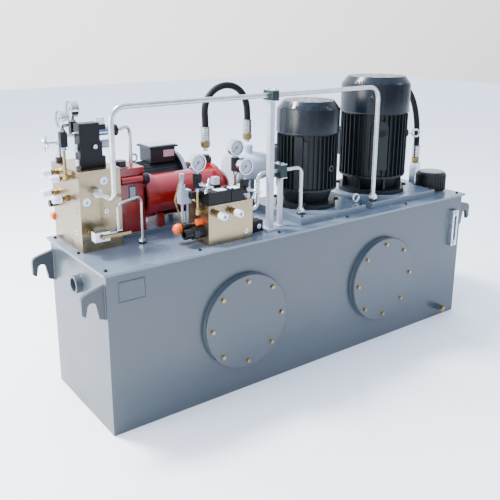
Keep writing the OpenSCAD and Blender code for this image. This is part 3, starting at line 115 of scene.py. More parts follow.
@dataclass(frozen=True)
class Finish:
    """One real material with the marks of how it was made.

    The fine pattern gives bump, and a broad one varies colour and gloss, as handling and dust do.
    """

    name: str
    colour: str
    roughness: float
    metallic: float = 0.0
    ior: float = 1.5
    coat: float = 0.0
    grain: Grain = Grain.EVEN
    grain_mm: float = 3.0
    bump_mm: float = 0.02
    tone: float = 0.08
    tone_mm: float = 220.0
    gloss_spread: float = 0.06
    transmission: float = 0.0

    def material(self) -> bpy.types.Material:
        """Builds the node material once and returns it."""
        ready = bpy.data.materials.get(self.name)
        if ready:
            return ready
        made = bpy.data.materials.new(self.name)
        made.use_nodes = True
        tree = made.node_tree
        tree.nodes.clear()
        place = add_node(tree, "ShaderNodeTexCoord")
        per_metre = 1000.0 / self.grain_mm
        fine_map = add_node(tree, "ShaderNodeMapping",
                            {"Scale": tuple(per_metre * s for s in self.grain.value)},
                            {"Vector": place.outputs["Object"]})
        fine = add_node(tree, "ShaderNodeTexNoise", {"Scale": 1.0, "Detail": 3.0},
                        {"Vector": fine_map.outputs["Vector"]})
        broad = add_node(tree, "ShaderNodeTexNoise",
                         {"Scale": 1000.0 / self.tone_mm, "Detail": 4.0, "Roughness": 0.6},
                         {"Vector": place.outputs["Object"]})
        red, green, blue, _ = linear(self.colour)
        ramp = add_node(tree, "ShaderNodeValToRGB", {}, {"Fac": broad.outputs["Fac"]})
        gains = (1 - self.tone, 1 + self.tone)
        for element, gain, noise in zip(ramp.color_ramp.elements, gains, NOISE_SPAN):
            element.color = (red * gain, green * gain, blue * gain, 1.0)
            element.position = noise
        gloss = add_node(tree, "ShaderNodeMapRange",
                         {"From Min": NOISE_SPAN[0], "From Max": NOISE_SPAN[1],
                          "To Min": max(0.02, self.roughness - self.gloss_spread),
                          "To Max": min(1.0, self.roughness + self.gloss_spread)},
                         {"Value": broad.outputs["Fac"]})
        bump = add_node(tree, "ShaderNodeBump", {"Strength": BUMP_STRENGTH, "Distance": self.bump_mm * MM},
                        {"Height": fine.outputs["Fac"]})
        shader = add_node(tree, "ShaderNodeBsdfPrincipled",
                          {"Metallic": self.metallic, "IOR": self.ior, "Coat Weight": self.coat,
                           "Coat Roughness": COAT_ROUGHNESS, "Transmission Weight": self.transmission},
                          {"Base Color": ramp.outputs["Color"], "Roughness": gloss.outputs["Result"],
                           "Normal": bump.outputs["Normal"]})
        add_node(tree, "ShaderNodeOutputMaterial", {}, {"Surface": shader.outputs["BSDF"]})
        return made


# Sprayed enamel on welded plate: even blue-grey with a slight orange peel and a soft gloss
TANK = Finish("sprayed_enamel_blue_grey", "3D464D", 0.36, coat=0.2, grain_mm=4.0, bump_mm=0.03,
              tone=0.07, tone_mm=420.0)
# The same enamel on the lid, glossier, and painted lighter than the tank's sides as painted light falling from
# above
LID = replace(TANK, name="sprayed_enamel_lit_top", colour="626E7A", roughness=0.24, tone=0.07, tone_mm=160.0)
# Dark blue-green enamel on grey cast iron: the sand casting shows through the paint
MOTOR = Finish("enamel_on_cast_iron", "0E1417", 0.42, ior=1.38, grain_mm=2.5, bump_mm=0.12, tone=0.14)
# The same enamel on pressed sheet, smooth and glossy
FAN = Finish("enamel_on_pressed_sheet", "0D151C", 0.24, ior=1.4, grain_mm=5.0, bump_mm=0.02, tone=0.06)
# Signal red enamel, glossy
RED = Finish("enamel_red", "820509", 0.24, coat=0.5, grain_mm=4.0, bump_mm=0.04, tone=0.06)
# White powder coat
WHITE = Finish("powder_coat_white", "C3CBD8", 0.36, coat=0.2, grain_mm=2.5, bump_mm=0.03, tone=0.03)
# Ground and nickel-plated steel block: warm, with fine grinding marks
BLOCK = Finish("nickel_plated_steel", "A08F72", 0.3, 1.0, grain=Grain.ALONG_X, grain_mm=0.9,
               bump_mm=0.02, tone=0.16, tone_mm=60.0, gloss_spread=0.1)
# Bright zinc plating, slightly blue and milky
ZINC = Finish("zinc_plated_steel", "C2C8D0", 0.24, 1.0, grain_mm=1.6, bump_mm=0.015, tone=0.14,
              tone_mm=30.0)
# Hot-dip galvanised tube: pale grey with drawn lengthwise streaks
TUBE = Finish("galvanised_tube", "BFC0BE", 0.32, 0.85, grain=Grain.ALONG_X, grain_mm=2.0,
              bump_mm=0.02, tone=0.14, tone_mm=30.0)
# Yellow-passivated zinc, iridescent straw colour
YELLOW = Finish("yellow_passivated_zinc", "968058", 0.32, 1.0, grain_mm=1.4, bump_mm=0.012,
                tone=0.3, tone_mm=14.0)
# Ground shaft steel
GROUND = Finish("ground_steel", "A5A5A2", 0.26, 1.0, grain_mm=1.0, bump_mm=0.008, tone=0.06)
# Varnished copper windings and laminated core
COPPER = Finish("varnished_copper", "9A5B36", 0.4, 0.8, grain_mm=1.2, bump_mm=0.05, tone=0.15, tone_mm=20.0)
# Black oxide screws and fittings, oiled
OXIDE = Finish("black_oxide_steel", "0E0E10", 0.4, 0.2, grain_mm=1.2, bump_mm=0.02, tone=0.25, tone_mm=18.0)
# Black enamel on cast valve bodies
VALVE = Finish("black_enamel_casting", "050506", 0.45, ior=1.36, grain_mm=1.5, bump_mm=0.06, tone=0.2,
               tone_mm=30.0)
# Glass-filled black nylon, moulded with a fine texture
NYLON = Finish("moulded_nylon_black", "0E0E10", 0.46, ior=1.38, grain_mm=0.9, bump_mm=0.025,
               tone=0.1, tone_mm=40.0)
# Polythene cap, slightly waxy and cold white
CAP_WHITE = Finish("polythene_white", "E6E8F6", 0.32, grain_mm=2.0, bump_mm=0.015, tone=0.03)
# Polythene cap, orange
CAP_ORANGE = replace(CAP_WHITE, name="polythene_orange", colour="EE5D17", tone=0.06)
# Nitrile sheet seal
SEAL = Finish("nitrile_rubber", "26272A", 0.7, grain_mm=1.2, bump_mm=0.03, tone=0.1)
# Smooth synthetic rubber hose cover with the wrap marks of its cloth
HOSE = Finish("wrapped_hose_rubber", "070708", 0.6, ior=1.34, grain_mm=1.6, bump_mm=0.08,
              tone=0.2, tone_mm=30.0)
# Polished stainless gauge case
CHROME = Finish("polished_stainless", "D6D9DC", 0.1, 1.0, grain_mm=6.0, bump_mm=0.004, tone=0.03)
# Gauge window
WINDOW = Finish("clear_window", "FFFFFF", 0.03, ior=1.45, grain_mm=30.0, bump_mm=0.001, tone=0.0,
                gloss_spread=0.01, transmission=1.0)
# Acrylic sight tube
ACRYLIC = replace(WINDOW, name="clear_acrylic", colour="DCE9EC", ior=1.49)
# Printed dial, matt
DIAL = Finish("printed_dial", "C6CCDC", 0.5, grain_mm=2.0, bump_mm=0.004, tone=0.01)
# Black printing ink and painted pointers
INK = Finish("black_ink", "15161A", 0.55, grain_mm=1.0, bump_mm=0.004, tone=0.02)
# Grey iron, as cast
IRON = Finish("grey_cast_iron", "4E5256", 0.6, 0.4, grain_mm=1.8, bump_mm=0.12, tone=0.2, tone_mm=40.0)
# Moulded green polypropylene of pipe clamps
GREEN = Finish("polypropylene_green", "041F20", 0.45, ior=1.4, grain_mm=1.5, bump_mm=0.03,
               tone=0.12, tone_mm=40.0)
# Blank paper label under clear film
LABEL = Finish("paper_label", "DDE1EC", 0.35, grain_mm=1.0, bump_mm=0.004, tone=0.02)
# Crimped hose ferrule: zinc gone dull and beige
CRIMP = Finish("crimped_steel", "A39C93", 0.42, 0.9, grain_mm=1.2, bump_mm=0.03, tone=0.16, tone_mm=16.0)
# Machined brass of the hose unions
BRASS = Finish("machined_brass", "8C7646", 0.3, 1.0, grain_mm=1.0, bump_mm=0.015, tone=0.18, tone_mm=12.0)
# Clear moulded plug housing
CLEAR = Finish("clear_polycarbonate", "D8DCE4", 0.12, ior=1.52, grain_mm=6.0, bump_mm=0.01, tone=0.02,
               transmission=0.6)
# Light grey enamel on small parts and rims
PALE = Finish("enamel_light_grey", "8E98A4", 0.34, coat=0.2, grain_mm=3.0, bump_mm=0.03, tone=0.06)
# Pale grey enamel of the two clamp posts
POST = replace(PALE, name="enamel_post_grey", colour="A6ABB5")
# The tank's enamel on the flame-cut hooks, painted darker as painted shade on their faces
HOOK = replace(TANK, name="enamel_hooks_painted_shade", colour="2A3137")
# Zinc plating with a blue passivation
BLUED = Finish("blue_passivated_zinc", "8FA3C2", 0.22, 1.0, grain_mm=1.6, bump_mm=0.012,
               tone=0.14, tone_mm=20.0)
# Painted shade: a darker copy of the white polythene for the caps' inner ends, which the screw inside shades
CAP_SHADE = replace(CAP_WHITE, name="polythene_painted_shade", colour="7E84B4")
# Glossy top of the filler cap, painted lighter than the black nylon as a painted sheen
NYLON_SHEEN = Finish("nylon_painted_sheen", "2A2D36", 0.22, coat=0.3, grain_mm=2.0, bump_mm=0.02, tone=0.1)
# Faded pink paper sticker
STICKER = replace(LABEL, name="paper_sticker_pink", colour="C79AA2")

NODE_FINISH: dict[str, Finish] = {
    "tank_shell": TANK, "tank_baffle": TANK, "welded_fittings": TANK, "gaskets": SEAL,
    "clean_out_covers": TANK, "cover_bolts": YELLOW, "lid_plate": LID, "black_screws": OXIDE,
    "lifting_lugs": HOOK, "level_gauge_body": ZINC, "level_gauge_tube": ACRYLIC,
    "breather_neck": YELLOW, "breather_cap": NYLON, "mounting_plates": LID,
    "motor_frame_small": MOTOR, "motor_frame_large": MOTOR, "motor_internals": COPPER,
    "fan_covers": FAN, "terminal_boxes": MOTOR, "eye_bolts": ZINC, "rotor_small": GROUND,
    "rotor_large": GROUND, "immersed_pumps": IRON, "suction_strainers": ZINC, "circ_base": LID,
    "circ_housing": RED, "circ_motor_frame": MOTOR, "circ_rotor": GROUND, "filter_canister": WHITE,
    "steel_brackets": ZINC, "hose_loop": HOSE, "hose_rear": HOSE, "hose_fittings": ZINC,
    "manifold_left": BLOCK, "manifold_front": BLOCK, "valve_stack_left": VALVE,
    "valves_front": VALVE, "override_pin": GROUND, "block_plugs": ZINC, "black_fittings": OXIDE,
    "port_caps_white": CAP_WHITE, "port_caps_orange": CAP_ORANGE, "gauge_cases": CHROME,
    "gauge_lenses": WINDOW, "gauge_valves": VALVE, "relief_valve": ZINC, "brass_fittings": YELLOW,
    "pipes": TUBE, "steel_fittings": ZINC, "ball_lever": YELLOW, "clamp_posts": POST,
    "clamp_blocks": GREEN,
    **{f"needle_{letter}": INK for letter in "abcde"},
    **{f"handle_{letter}": ZINC for letter in "acd"},
}


X, Y, Z = Vector((1, 0, 0)), Vector((0, 1, 0)), Vector((0, 0, 1))


def mm(x: float, y: float, z: float) -> Vector:
    """A vector given in millimetres."""
    return Vector((x, y, z)) * MM


def heading(degrees: float) -> Vector:
    """The level direction at an angle from +X."""
    return Vector((cos(radians(degrees)), sin(radians(degrees)), 0.0))


def along(origin: Vector, axis: Vector) -> Matrix:
    """The place whose Z runs along an axis from an origin."""
    return Matrix.Translation(Vector(origin)) @ Vector(axis).to_track_quat("Z", "Y").to_matrix().to_4x4()


def on_dial(face: Vector, inward: Vector, out: Vector) -> Matrix:
    """The place on a dial whose Y runs into the gauge and whose Z runs out from its centre."""
    return Matrix.Translation(face) @ Matrix((out.cross(inward), inward, out)).transposed().to_4x4()


class Form:
    """A mesh in the making, built up from solid shapes by bmesh operators."""

    def __init__(self) -> None:
        """Starts with an empty mesh."""
        self.mesh = bmesh.new()

    def _round(self, verts: list, width: float, angle: float = 40.0) -> None:
        """Bevels the sharp edges among some vertices.

        Args:
            verts: the vertices of the shape just added.
            width: the bevel's width, or 0 for none.
            angle: edges sharper than this many degrees are bevelled.
        """
        if width <= 0:
            return
        edges = {e for v in verts for e in v.link_edges
                 if len(e.link_faces) == 2 and e.calc_face_angle(0.0) > radians(angle)}
        bmesh.ops.bevel(self.mesh, geom=list(edges), offset=width, offset_type="OFFSET", segments=2,
                        profile=0.5, affect="EDGES", material=-1, clamp_overlap=True)

    def block(self, low: Vector, high: Vector, bevel: float = 0.0008, turn: Matrix | None = None) -> "Form":
        """Adds a box between two corners, bevelled, then turned if asked."""
        low, high = Vector(low), Vector(high)
        place = Matrix.Translation((low + high) / 2) @ Matrix.Diagonal((*(high - low), 1.0))
        made = bmesh.ops.create_cube(self.mesh, size=1.0, matrix=(turn or Matrix()) @ place)
        self._round(made["verts"], bevel)
        return self

    def rod(self, start: Vector, end: Vector, radius: float, sides: int = 40,
            bevel: float = 0.0006) -> "Form":
        """Adds a rod or prism from one point to another."""
        start, end = Vector(start), Vector(end)
        made = bmesh.ops.create_cone(self.mesh, cap_ends=True, segments=sides, radius1=radius,
                                     radius2=radius, depth=(end - start).length,
                                     matrix=along((start + end) / 2, end - start))
        self._round(made["verts"], bevel)
        return self

    def hexagon(self, start: Vector, end: Vector, radius: float) -> "Form":
        """Adds a hexagon head or nut between two points."""
        return self.rod(start, end, radius, sides=6, bevel=0.0008)

    def _spin(self, verts: list, edges: list, steps: int) -> Callable[[], list]:
        """Spins an outline a full turn about Z.

        Args:
            verts: the outline's vertices.
            edges: its edges.
            steps: how many flats the full turn has.

        Returns:
            A function that lists the vertices of the spun shape.
        """
        before = set(self.mesh.verts) - set(verts)
        bmesh.ops.spin(self.mesh, geom=verts + edges, cent=(0, 0, 0), axis=(0, 0, 1), angle=2 * pi,
                       steps=steps, use_merge=True)
        return lambda: [v for v in self.mesh.verts if v not in before]

    def lathe(self, profile: list[tuple[float, float]], origin: Vector, axis: Vector,
              steps: int = 64) -> "Form":
        """Spins a profile of radius and height pairs about an axis.

        Args:
            profile: the outline from one end on the axis to the other.
            origin: where height 0 lies.
            axis: the direction of height.
            steps: how many flats the full turn has.
        """
        verts = [self.mesh.verts.new((r, 0.0, z)) for r, z in profile]
        edges = [self.mesh.edges.new(pair) for pair in zip(verts, verts[1:])]
        new = self._spin(verts, edges, steps)
        bmesh.ops.remove_doubles(self.mesh, verts=new(), dist=1e-6)
        bmesh.ops.transform(self.mesh, matrix=along(origin, axis), verts=new())
        return self

    def disc(self, radius: float, low: float, high: float, origin: Vector, axis: Vector,
             steps: int) -> "Form":
        """Adds a plain disc between two heights on an axis."""
        return self.lathe([(0, low), (radius, low), (radius, high), (0, high)], origin, axis, steps)

    def ring(self, centre: Vector, axis: Vector, radius: float, wire: float, steps: int = 48,
             sides: int = 12) -> "Form":
        """Adds a closed round ring, such as a rolled edge or a weld bead."""
        circle = bmesh.ops.create_circle(
            self.mesh, segments=sides, radius=wire,
            matrix=Matrix.Translation((radius, 0, 0)) @ Matrix.Rotation(pi / 2, 4, "X"))["verts"]
        new = self._spin(list(circle), list({e for v in circle for e in v.link_edges}), steps)
        bmesh.ops.transform(self.mesh, matrix=along(centre, axis), verts=new())
        return self

    def copy_node(self, node: str, bevel: float, keep: Callable[["Space"], bool] | None = None) -> "Form":
        """Adds a merged copy of a CAD node with its sharp edges rounded.

        Args:
            node: the CAD node's name.
            bevel: the width of the rounding, or 0 for none.
            keep: says by its space which of the node's solids are copied. None copies all.
        """
        self.mesh.from_mesh(frame["nodes"][node].data)
        bmesh.ops.remove_doubles(self.mesh, verts=self.mesh.verts, dist=MERGE)
        if keep:
            for verts, where in islands(self.mesh):
                if not keep(where):
                    bmesh.ops.delete(self.mesh, geom=list(verts), context="VERTS")
        bmesh.ops.dissolve_limit(self.mesh, angle_limit=radians(0.6), use_dissolve_boundaries=False,
                                 verts=self.mesh.verts, edges=self.mesh.edges, delimit=set())
        self._round(list(self.mesh.verts), bevel, angle=50.0)
        return self

    def piece(self, name: str, finish: Finish, slot: str, body: str = ROOT,
              stands_for: tuple[str, ...] = (), sharp: float = 35.0) -> None:
        """Turns the form to an object that rides on a body.

        Args:
            name: the piece's name.
            finish: its finish.
            slot: the record's material slot; not used.
            body: the body that it moves with.
            stands_for: the CAD nodes that it replaces.
            sharp: edges sharper than this many degrees stay crisp in the shading.
        """
        bmesh.ops.recalc_face_normals(self.mesh, faces=self.mesh.faces)
        data = bpy.data.meshes.new(name)
        self.mesh.to_mesh(data)
        self.mesh.free()
        data.shade_smooth()
        data.set_sharp_from_angle(angle=radians(sharp))
        made = bpy.data.objects.new(name, data)
        bpy.context.scene.collection.objects.link(made)
        data.materials.append(finish.material())
        even = made.modifiers.new("even_shading", "WEIGHTED_NORMAL")
        even.weight = AREA_WEIGHT
        even.keep_sharp = True
        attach(made, body)
        if stands_for:
            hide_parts(*stands_for)
        log.info("%s: %d faces on %s", name, len(data.polygons), body)


@dataclass(frozen=True)
class Space:
    """The box that a CAD node or one of its solids fills."""

    low: Vector
    high: Vector

    @property
    def middle(self) -> Vector:
        """The middle of the box."""
        return (self.low + self.high) / 2

    @property
    def size(self) -> Vector:
        """The three sides of the box."""
        return self.high - self.low


def space(node: str) -> Space:
    """The space of a whole CAD node."""
    return Space(*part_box(node))


def islands(mesh: bmesh.types.BMesh) -> list[tuple[set, Space]]:
    """Splits a mesh to its separate solids.

    Args:
        mesh: the merged mesh.

    Returns:
        The vertices and the space of each solid.
    """
    left, found = dict.fromkeys(mesh.verts), []
    while left:
        start = next(iter(left))
        del left[start]
        reached, edge = {start}, [start]
        while edge:
            for link in edge.pop().link_edges:
                for vert in link.verts:
                    if vert in left:
                        del left[vert]
                        reached.add(vert)
                        edge.append(vert)
        low = Vector([min(v.co[i] for v in reached) for i in range(3)])
        high = Vector([max(v.co[i] for v in reached) for i in range(3)])
        found.append((reached, Space(low, high)))
    return found


def solids(node: str) -> list[Space]:
    """The spaces of a CAD node's separate solids, from left to right.

    Args:
        node: the CAD node's name.

    Returns:
        One space for each solid.
    """
    mesh = bmesh.new()
    mesh.from_mesh(frame["nodes"][node].data)
    bmesh.ops.remove_doubles(mesh, verts=mesh.verts, dist=MERGE)
    found = [where for _, where in islands(mesh)]
    mesh.free()
    return sorted(found, key=lambda s: tuple(round(c, 3) for c in s.middle))


def joint(name: str) -> tuple[Vector, Vector]:
    """The place and axis of a joint."""
    found = next(j for j in frame["joints"] if j["name"] == name)
    return Vector(found["pos_m"]), Vector(found["axis"])


def body_of(node: str) -> str:
    """The body that a CAD node rides on."""
    bodies = frame["record"]["behaviour"]["bodies"]
    return next(body for body, members in bodies.items() if node in members)


def slot_of(node: str) -> str:
    """The record's material slot of a CAD node."""
    return next(s["material_slot"] for s in frame["record"]["subparts"] if s["node"] == node)


@dataclass
class Rounded:
    """Machined, cast and welded parts, as copies of their CAD nodes with rounded edges."""

    widths: dict[str, float] = field(default_factory=lambda: {
        "tank_shell": 1.6, "lid_plate": 1.2, "clean_out_covers": 1.0, "welded_fittings": 1.0,
        "cover_bolts": 0.5, "black_screws": 0.4, "lifting_lugs": 2.2, "level_gauge_body": 1.5,
        "mounting_plates": 1.5, "motor_frame_small": 0.7, "motor_frame_large": 0.7,
        "fan_covers": 0.6, "terminal_boxes": 2.5, "circ_base": 1.5, "circ_housing": 2.0,
        "circ_motor_frame": 0.5, "manifold_left": 1.2, "manifold_front": 1.2,
        "gauge_valves": 1.4, "black_fittings": 0.6, "brass_fittings": 0.5, "steel_fittings": 0.6,
        "clamp_posts": 1.0, "steel_brackets": 1.0, "port_caps_orange": 0.6, "block_plugs": 0.4,
        "breather_cap": 0.6, "breather_neck": 0.5, "ball_lever": 0.6, "hose_fittings": 0.8,
        "filter_canister": 1.5, "pipes": 0.0, "eye_bolts": 0.0})

    def build(self) -> None:
        """Makes each copy."""
        for node, width in self.widths.items():
            Form().copy_node(node, width * MM).piece(
                node + "_finished", NODE_FINISH[node], slot_of(node), body_of(node), (node,))


@dataclass
class Tank:
    """Weld beads, the level gauge's scale and the blank name plate."""

    bead: float = 0.003
    cover_radius: float = 0.199
    marks: int = 9

    def build(self) -> None:
        """Adds the tank's small pieces."""
        shell = space("tank_shell")
        form = Form()
        for lug in solids("lifting_lugs"):
            x = shell.low.x - 0.001 if lug.middle.x < 0 else shell.high.x + 0.001
            for y in (lug.low.y, lug.high.y):
                form.rod((x, y, lug.low.z), (x, y, lug.high.z), self.bead, sides=10, bevel=0.0)
        welded = solids("welded_fittings")
        for ring in (s for s in welded if s.size.x > 0.3):
            form.ring((ring.middle.x, shell.low.y, ring.middle.z), Y, self.cover_radius, self.bead, 96)
        stub = min(welded, key=lambda s: s.low.x)
        form.ring((shell.low.x, stub.middle.y, stub.middle.z), X, stub.size.y / 2 + 0.001, self.bead)
        drain = max(welded, key=lambda s: s.low.x)
        form.ring((drain.middle.x, shell.low.y, drain.middle.z), Y, drain.size.x / 2 + 0.0005, 0.002)
        form.piece("weld_beads", TANK, "tank_paint")
        self._scale()
        self._plate()

    def _scale(self) -> None:
        """Adds the marks behind the sight tube, with one red line."""
        tube = space("level_gauge_tube")
        face = tube.low.y - 0.0004
        lines, red = Form(), Form()
        for i in range(self.marks):
            z = tube.low.z + tube.size.z * (i + 1) / (self.marks + 1)
            reach = 0.008 if i % 2 else 0.012
            at = red if i == 1 else lines
            at.block((tube.low.x + 0.001, face, z - 0.0005),
                     (tube.low.x + 0.001 + reach, face + 0.0008, z + 0.0005), 0.0)
        lines.piece("level_scale_marks", INK, "level_glass")
        red.piece("level_low_mark", RED, "red_paint")
        form = Form()
        form.block((tube.middle.x - 0.0035, tube.middle.y - 0.003, tube.low.z + 0.002),
                   (tube.middle.x + 0.0035, tube.middle.y + 0.004, tube.high.z - 0.002), 0.001)
        form.piece("level_float_rail", SEAL, "seal_rubber")

    def _plate(self) -> None:
        """Fills the welded frame with its blank plate."""
        flat = [s for s in solids("welded_fittings") if 0.09 < s.size.x < 0.2 and s.size.y < 0.01]
        frame_box = min(flat, key=lambda s: s.low.x)
        form = Form()
        form.block(frame_box.low + mm(5, 1.8, 5), frame_box.high - mm(5, 0.1, 5), 0.0003)
        form.piece("name_plate_blank", TANK, "tank_paint")


@dataclass(frozen=True)
class Pad:
    """The raised cast pad between a motor's fins: its heading, half width, foot and top."""

    degrees: float
    half: float
    low: float
    high: float
    arched: bool = False
    sunk: float = 0.034
    proud: float = 0.001


@dataclass
class Motor:
    """The small pieces on one vertical motor: bosses, screws, plug and the cast pad.

    A boss is given by its heading, height and radius, and the plug by its heading and height.
    """

    name: str
    boss: tuple[float, float, float]
    pad: Pad
    plug: tuple[float, float] | None = None
    cover_screws: int = 4
    wall: float = 0.003

    def build(self) -> None:
        """Adds the pieces of this motor."""
        body = space("motor_frame_" + self.name)
        centre = Vector((body.middle.x, body.middle.y, 0.0))
        cover = min(solids("fan_covers"), key=lambda s: (s.middle - centre).xy.length)
        radius = cover.size.x / 2
        screws, cast = Form(), Form()
        for i in range(self.cover_screws):
            out = heading(45 + 360 * i / self.cover_screws)
            foot = centre + out * (radius - 0.002) + Z * (cover.low.z + 0.012)
            screws.lathe([(0, 0), (0.006, 0), (0.0068, 0.0012), (0.0055, 0.0032), (0.0, 0.0040)],
                         foot, out, 24)
            corner = centre + out * (radius * 0.985) + Z * body.low.z
            screws.hexagon(corner + Z * 0.0205, corner + Z * 0.031, 0.0105)
            screws.disc(0.0125, 0, 0.0022, corner + Z * 0.0195, Z, 32)
        screws.piece(f"motor_{self.name}_screws", OXIDE, "black_oxide")
        fin = radius - self.wall
        degrees, height, size = self.boss
        out = heading(degrees)
        foot = centre + out * (fin - 0.016) + Z * (body.low.z + height)
        cast.lathe([(0, 0), (size, 0), (size, 0.019), (size - 0.003, 0.022), (size * 0.45, 0.022),
                    (size * 0.45, 0.014), (0, 0.014)], foot, out, 40)
        self._pad(cast, centre, fin, body.low.z)
        if self.plug:
            out = heading(self.plug[0])
            head = Form().lathe([(0, 0), (0.013, 0), (0.0145, 0.002), (0.0135, 0.008), (0.009, 0.011),
                                 (0, 0.011)], centre + out * fin + Z * (body.low.z + self.plug[1]), out, 40)
            head.piece("fan_cover_plug", OXIDE, "black_oxide")
        cast.ring(centre + Z * (cover.low.z + 0.0025), Z, radius - 0.001, 0.002, 96)
        cast.piece(f"motor_{self.name}_bosses", MOTOR, "motor_paint")

    def _pad(self, form: Form, centre: Vector, fin: float, ground: float) -> None:
        """Adds the pad, with its round top if it is arched.

        Args:
            form: the cast shapes.
            centre: the motor's axis at height 0.
            fin: the radius of the fins.
            ground: the height of the motor's foot.
        """
        pad = self.pad
        turn = Matrix.Translation(centre) @ Matrix.Rotation(radians(pad.degrees), 4, "Z")
        inner, outer, top = fin - pad.sunk, fin - pad.proud, ground + pad.high
        form.block((inner, -pad.half, ground + pad.low), (outer, pad.half, top), 0.004, turn)
        if pad.arched:
            form.rod(turn @ Vector((inner, 0, top)), turn @ Vector((outer, 0, top)), pad.half,
                     sides=48, bevel=0.003)


MOTORS: list[Motor] = [
    Motor("small", boss=(-82.5, 0.183, 0.016), pad=Pad(-148, 0.02, 0.09, 0.33)),
    Motor("large", boss=(-45, 0.286, 0.018), pad=Pad(-126, 0.042, 0.121, 0.322, arched=True),
          plug=(-139.8, 0.472)),
]


@dataclass
class Gauge:
    """One pressure gauge: a turned case, dial, ticks and bezel around the joint of its pointer."""

    letter: str
    radius: float = 0.034
    front: float = 0.014
    depth: float = 0.032
    divisions: int = 10
    parts: int = 5
    sweep: float = 270.0
    tick_end: float = 0.0275
    steps: int = 72

    def build(self, case: Form, dial: Form, ink: Form) -> None:
        """Adds this gauge's shapes to the forms that the five gauges share.

        Args:
            case: the polished cases.
            dial: the printed discs.
            ink: the ticks, and a dark ring of painted shade round the dial's edge.
        """
        stem, inward = joint(f"needle_{self.letter}_sweep")
        face = stem - inward * self.front
        r, t = self.radius, self.depth
        case.lathe([(r - 0.0045, 0.0004), (r - 0.0045, 0.0075), (r - 0.0058, 0.0082),
                    (r - 0.0058, t - 0.004), (r - 0.001, t - 0.004), (r - 0.001, 0.007),
                    (r + 0.0007, 0.0062), (r + 0.0007, 0.0022), (r - 0.0008, 0.0004),
                    (r - 0.0045, 0.0004)], face, inward, self.steps)
        case.lathe([(0, t - 0.003), (r - 0.0058, t - 0.003), (r - 0.003, t - 0.004),
                    (r - 0.001, t - 0.007), (r - 0.001, t - 0.004), (r - 0.004, t), (r * 0.5, t),
                    (r * 0.45, t + 0.001), (0, t + 0.001)], face, inward, self.steps)
        dial.disc(r - 0.0032, 0.0074, 0.0079, face, inward, self.steps)
        side = inward.cross(Z)
        ticks = self.divisions * self.parts
        for i in range(ticks + 1):
            turn = radians(-self.sweep / 2 + self.sweep * i / ticks)
            major = i % self.parts == 0
            inner = 0.0215 if major else 0.0245
            half = 0.00045 if major else 0.0002
            out = side * sin(turn) + Z * cos(turn)
            ink.block((-half, 0.0071, inner), (half, 0.0075, self.tick_end), 0.0,
                      on_dial(face, inward, out))
        # Painted shade: a dark ring round the dial's edge, where the bezel's inner step shades it
        ink.ring(face + inward * 0.0068, inward, r - 0.0052, 0.0007, 64, 8)


@dataclass
class Gauges:
    """The five gauges with their star handles."""

    letters: str = "abcde"
    with_handle: str = "acd"
    spoke: float = 0.0305
    spokes: int = 4
    first_spoke: float = 20.0

    def build(self) -> None:
        """Adds all gauges as shared pieces, and each handle on its own body."""
        case, dial, ink = Form(), Form(), Form()
        for letter in self.letters:
            Gauge(letter).build(case, dial, ink)
        case.piece("gauge_cases_polished", CHROME, "chrome_case", stands_for=("gauge_cases",), sharp=28.0)
        dial.piece("gauge_dials", DIAL, "white_plastic")
        ink.piece("gauge_ticks_and_shade_ring", INK, "needle_black")
        for letter in self.letters:
            self._needle(letter)
        for letter in self.with_handle:
            self._handle(letter)

    def _needle(self, letter: str) -> None:
        """Adds a flat pointer with its tail and hub, at zero."""
        stem, inward = joint(f"needle_{letter}_sweep")
        face = stem - inward * Gauge.front
        side = inward.cross(Z)
        turn = on_dial(face, inward, (-side - Z).normalized())
        form = Form()
        form.block((-0.0009, 0.0052, 0.0), (0.0009, 0.0059, 0.0235), 0.0002, turn)
        form.block((-0.0017, 0.0052, -0.0105), (0.0017, 0.006, 0.006), 0.0003, turn)
        form.lathe([(0, 0.0045), (0.0036, 0.0048), (0.004, 0.0055), (0.004, 0.0068), (0.0012, 0.0068),
                    (0.0012, 0.011), (0, 0.011)], face, inward, 32)
        node = "needle_" + letter
        form.piece(node + "_blade", INK, "needle_black", node, (node,))

    def _handle(self, letter: str) -> None:
        """Adds a cast star handle on its spindle."""
        place, out = joint(f"handle_{letter}_turn")
        form = Form()
        form.rod(place + out * 0.001, place + out * 0.066, 0.005, sides=32)
        form.hexagon(place + out * 0.0205, place + out * 0.0295, 0.0095)
        form.lathe([(0, 0.060), (0.0075, 0.060), (0.009, 0.063), (0.0095, 0.072), (0.008, 0.0775),
                    (0.004, 0.080), (0, 0.080)], place, out, 40)
        side = out.cross(Z).normalized()
        for i in range(self.spokes):
            turn = radians(360 / self.spokes * i + self.first_spoke)
            way = side * cos(turn) + Z * sin(turn)
            hub = place + out * 0.070
            form.lathe([(0, 0.0), (0.0042, 0.004), (0.0045, 0.015), (0.0058, 0.022), (0.0056, 0.027),
                        (0.0035, 0.0298), (0, self.spoke)], hub, way, 28)
        node = "handle_" + letter
        form.piece(node + "_cast", ZINC, "zinc_steel", node, (node,))


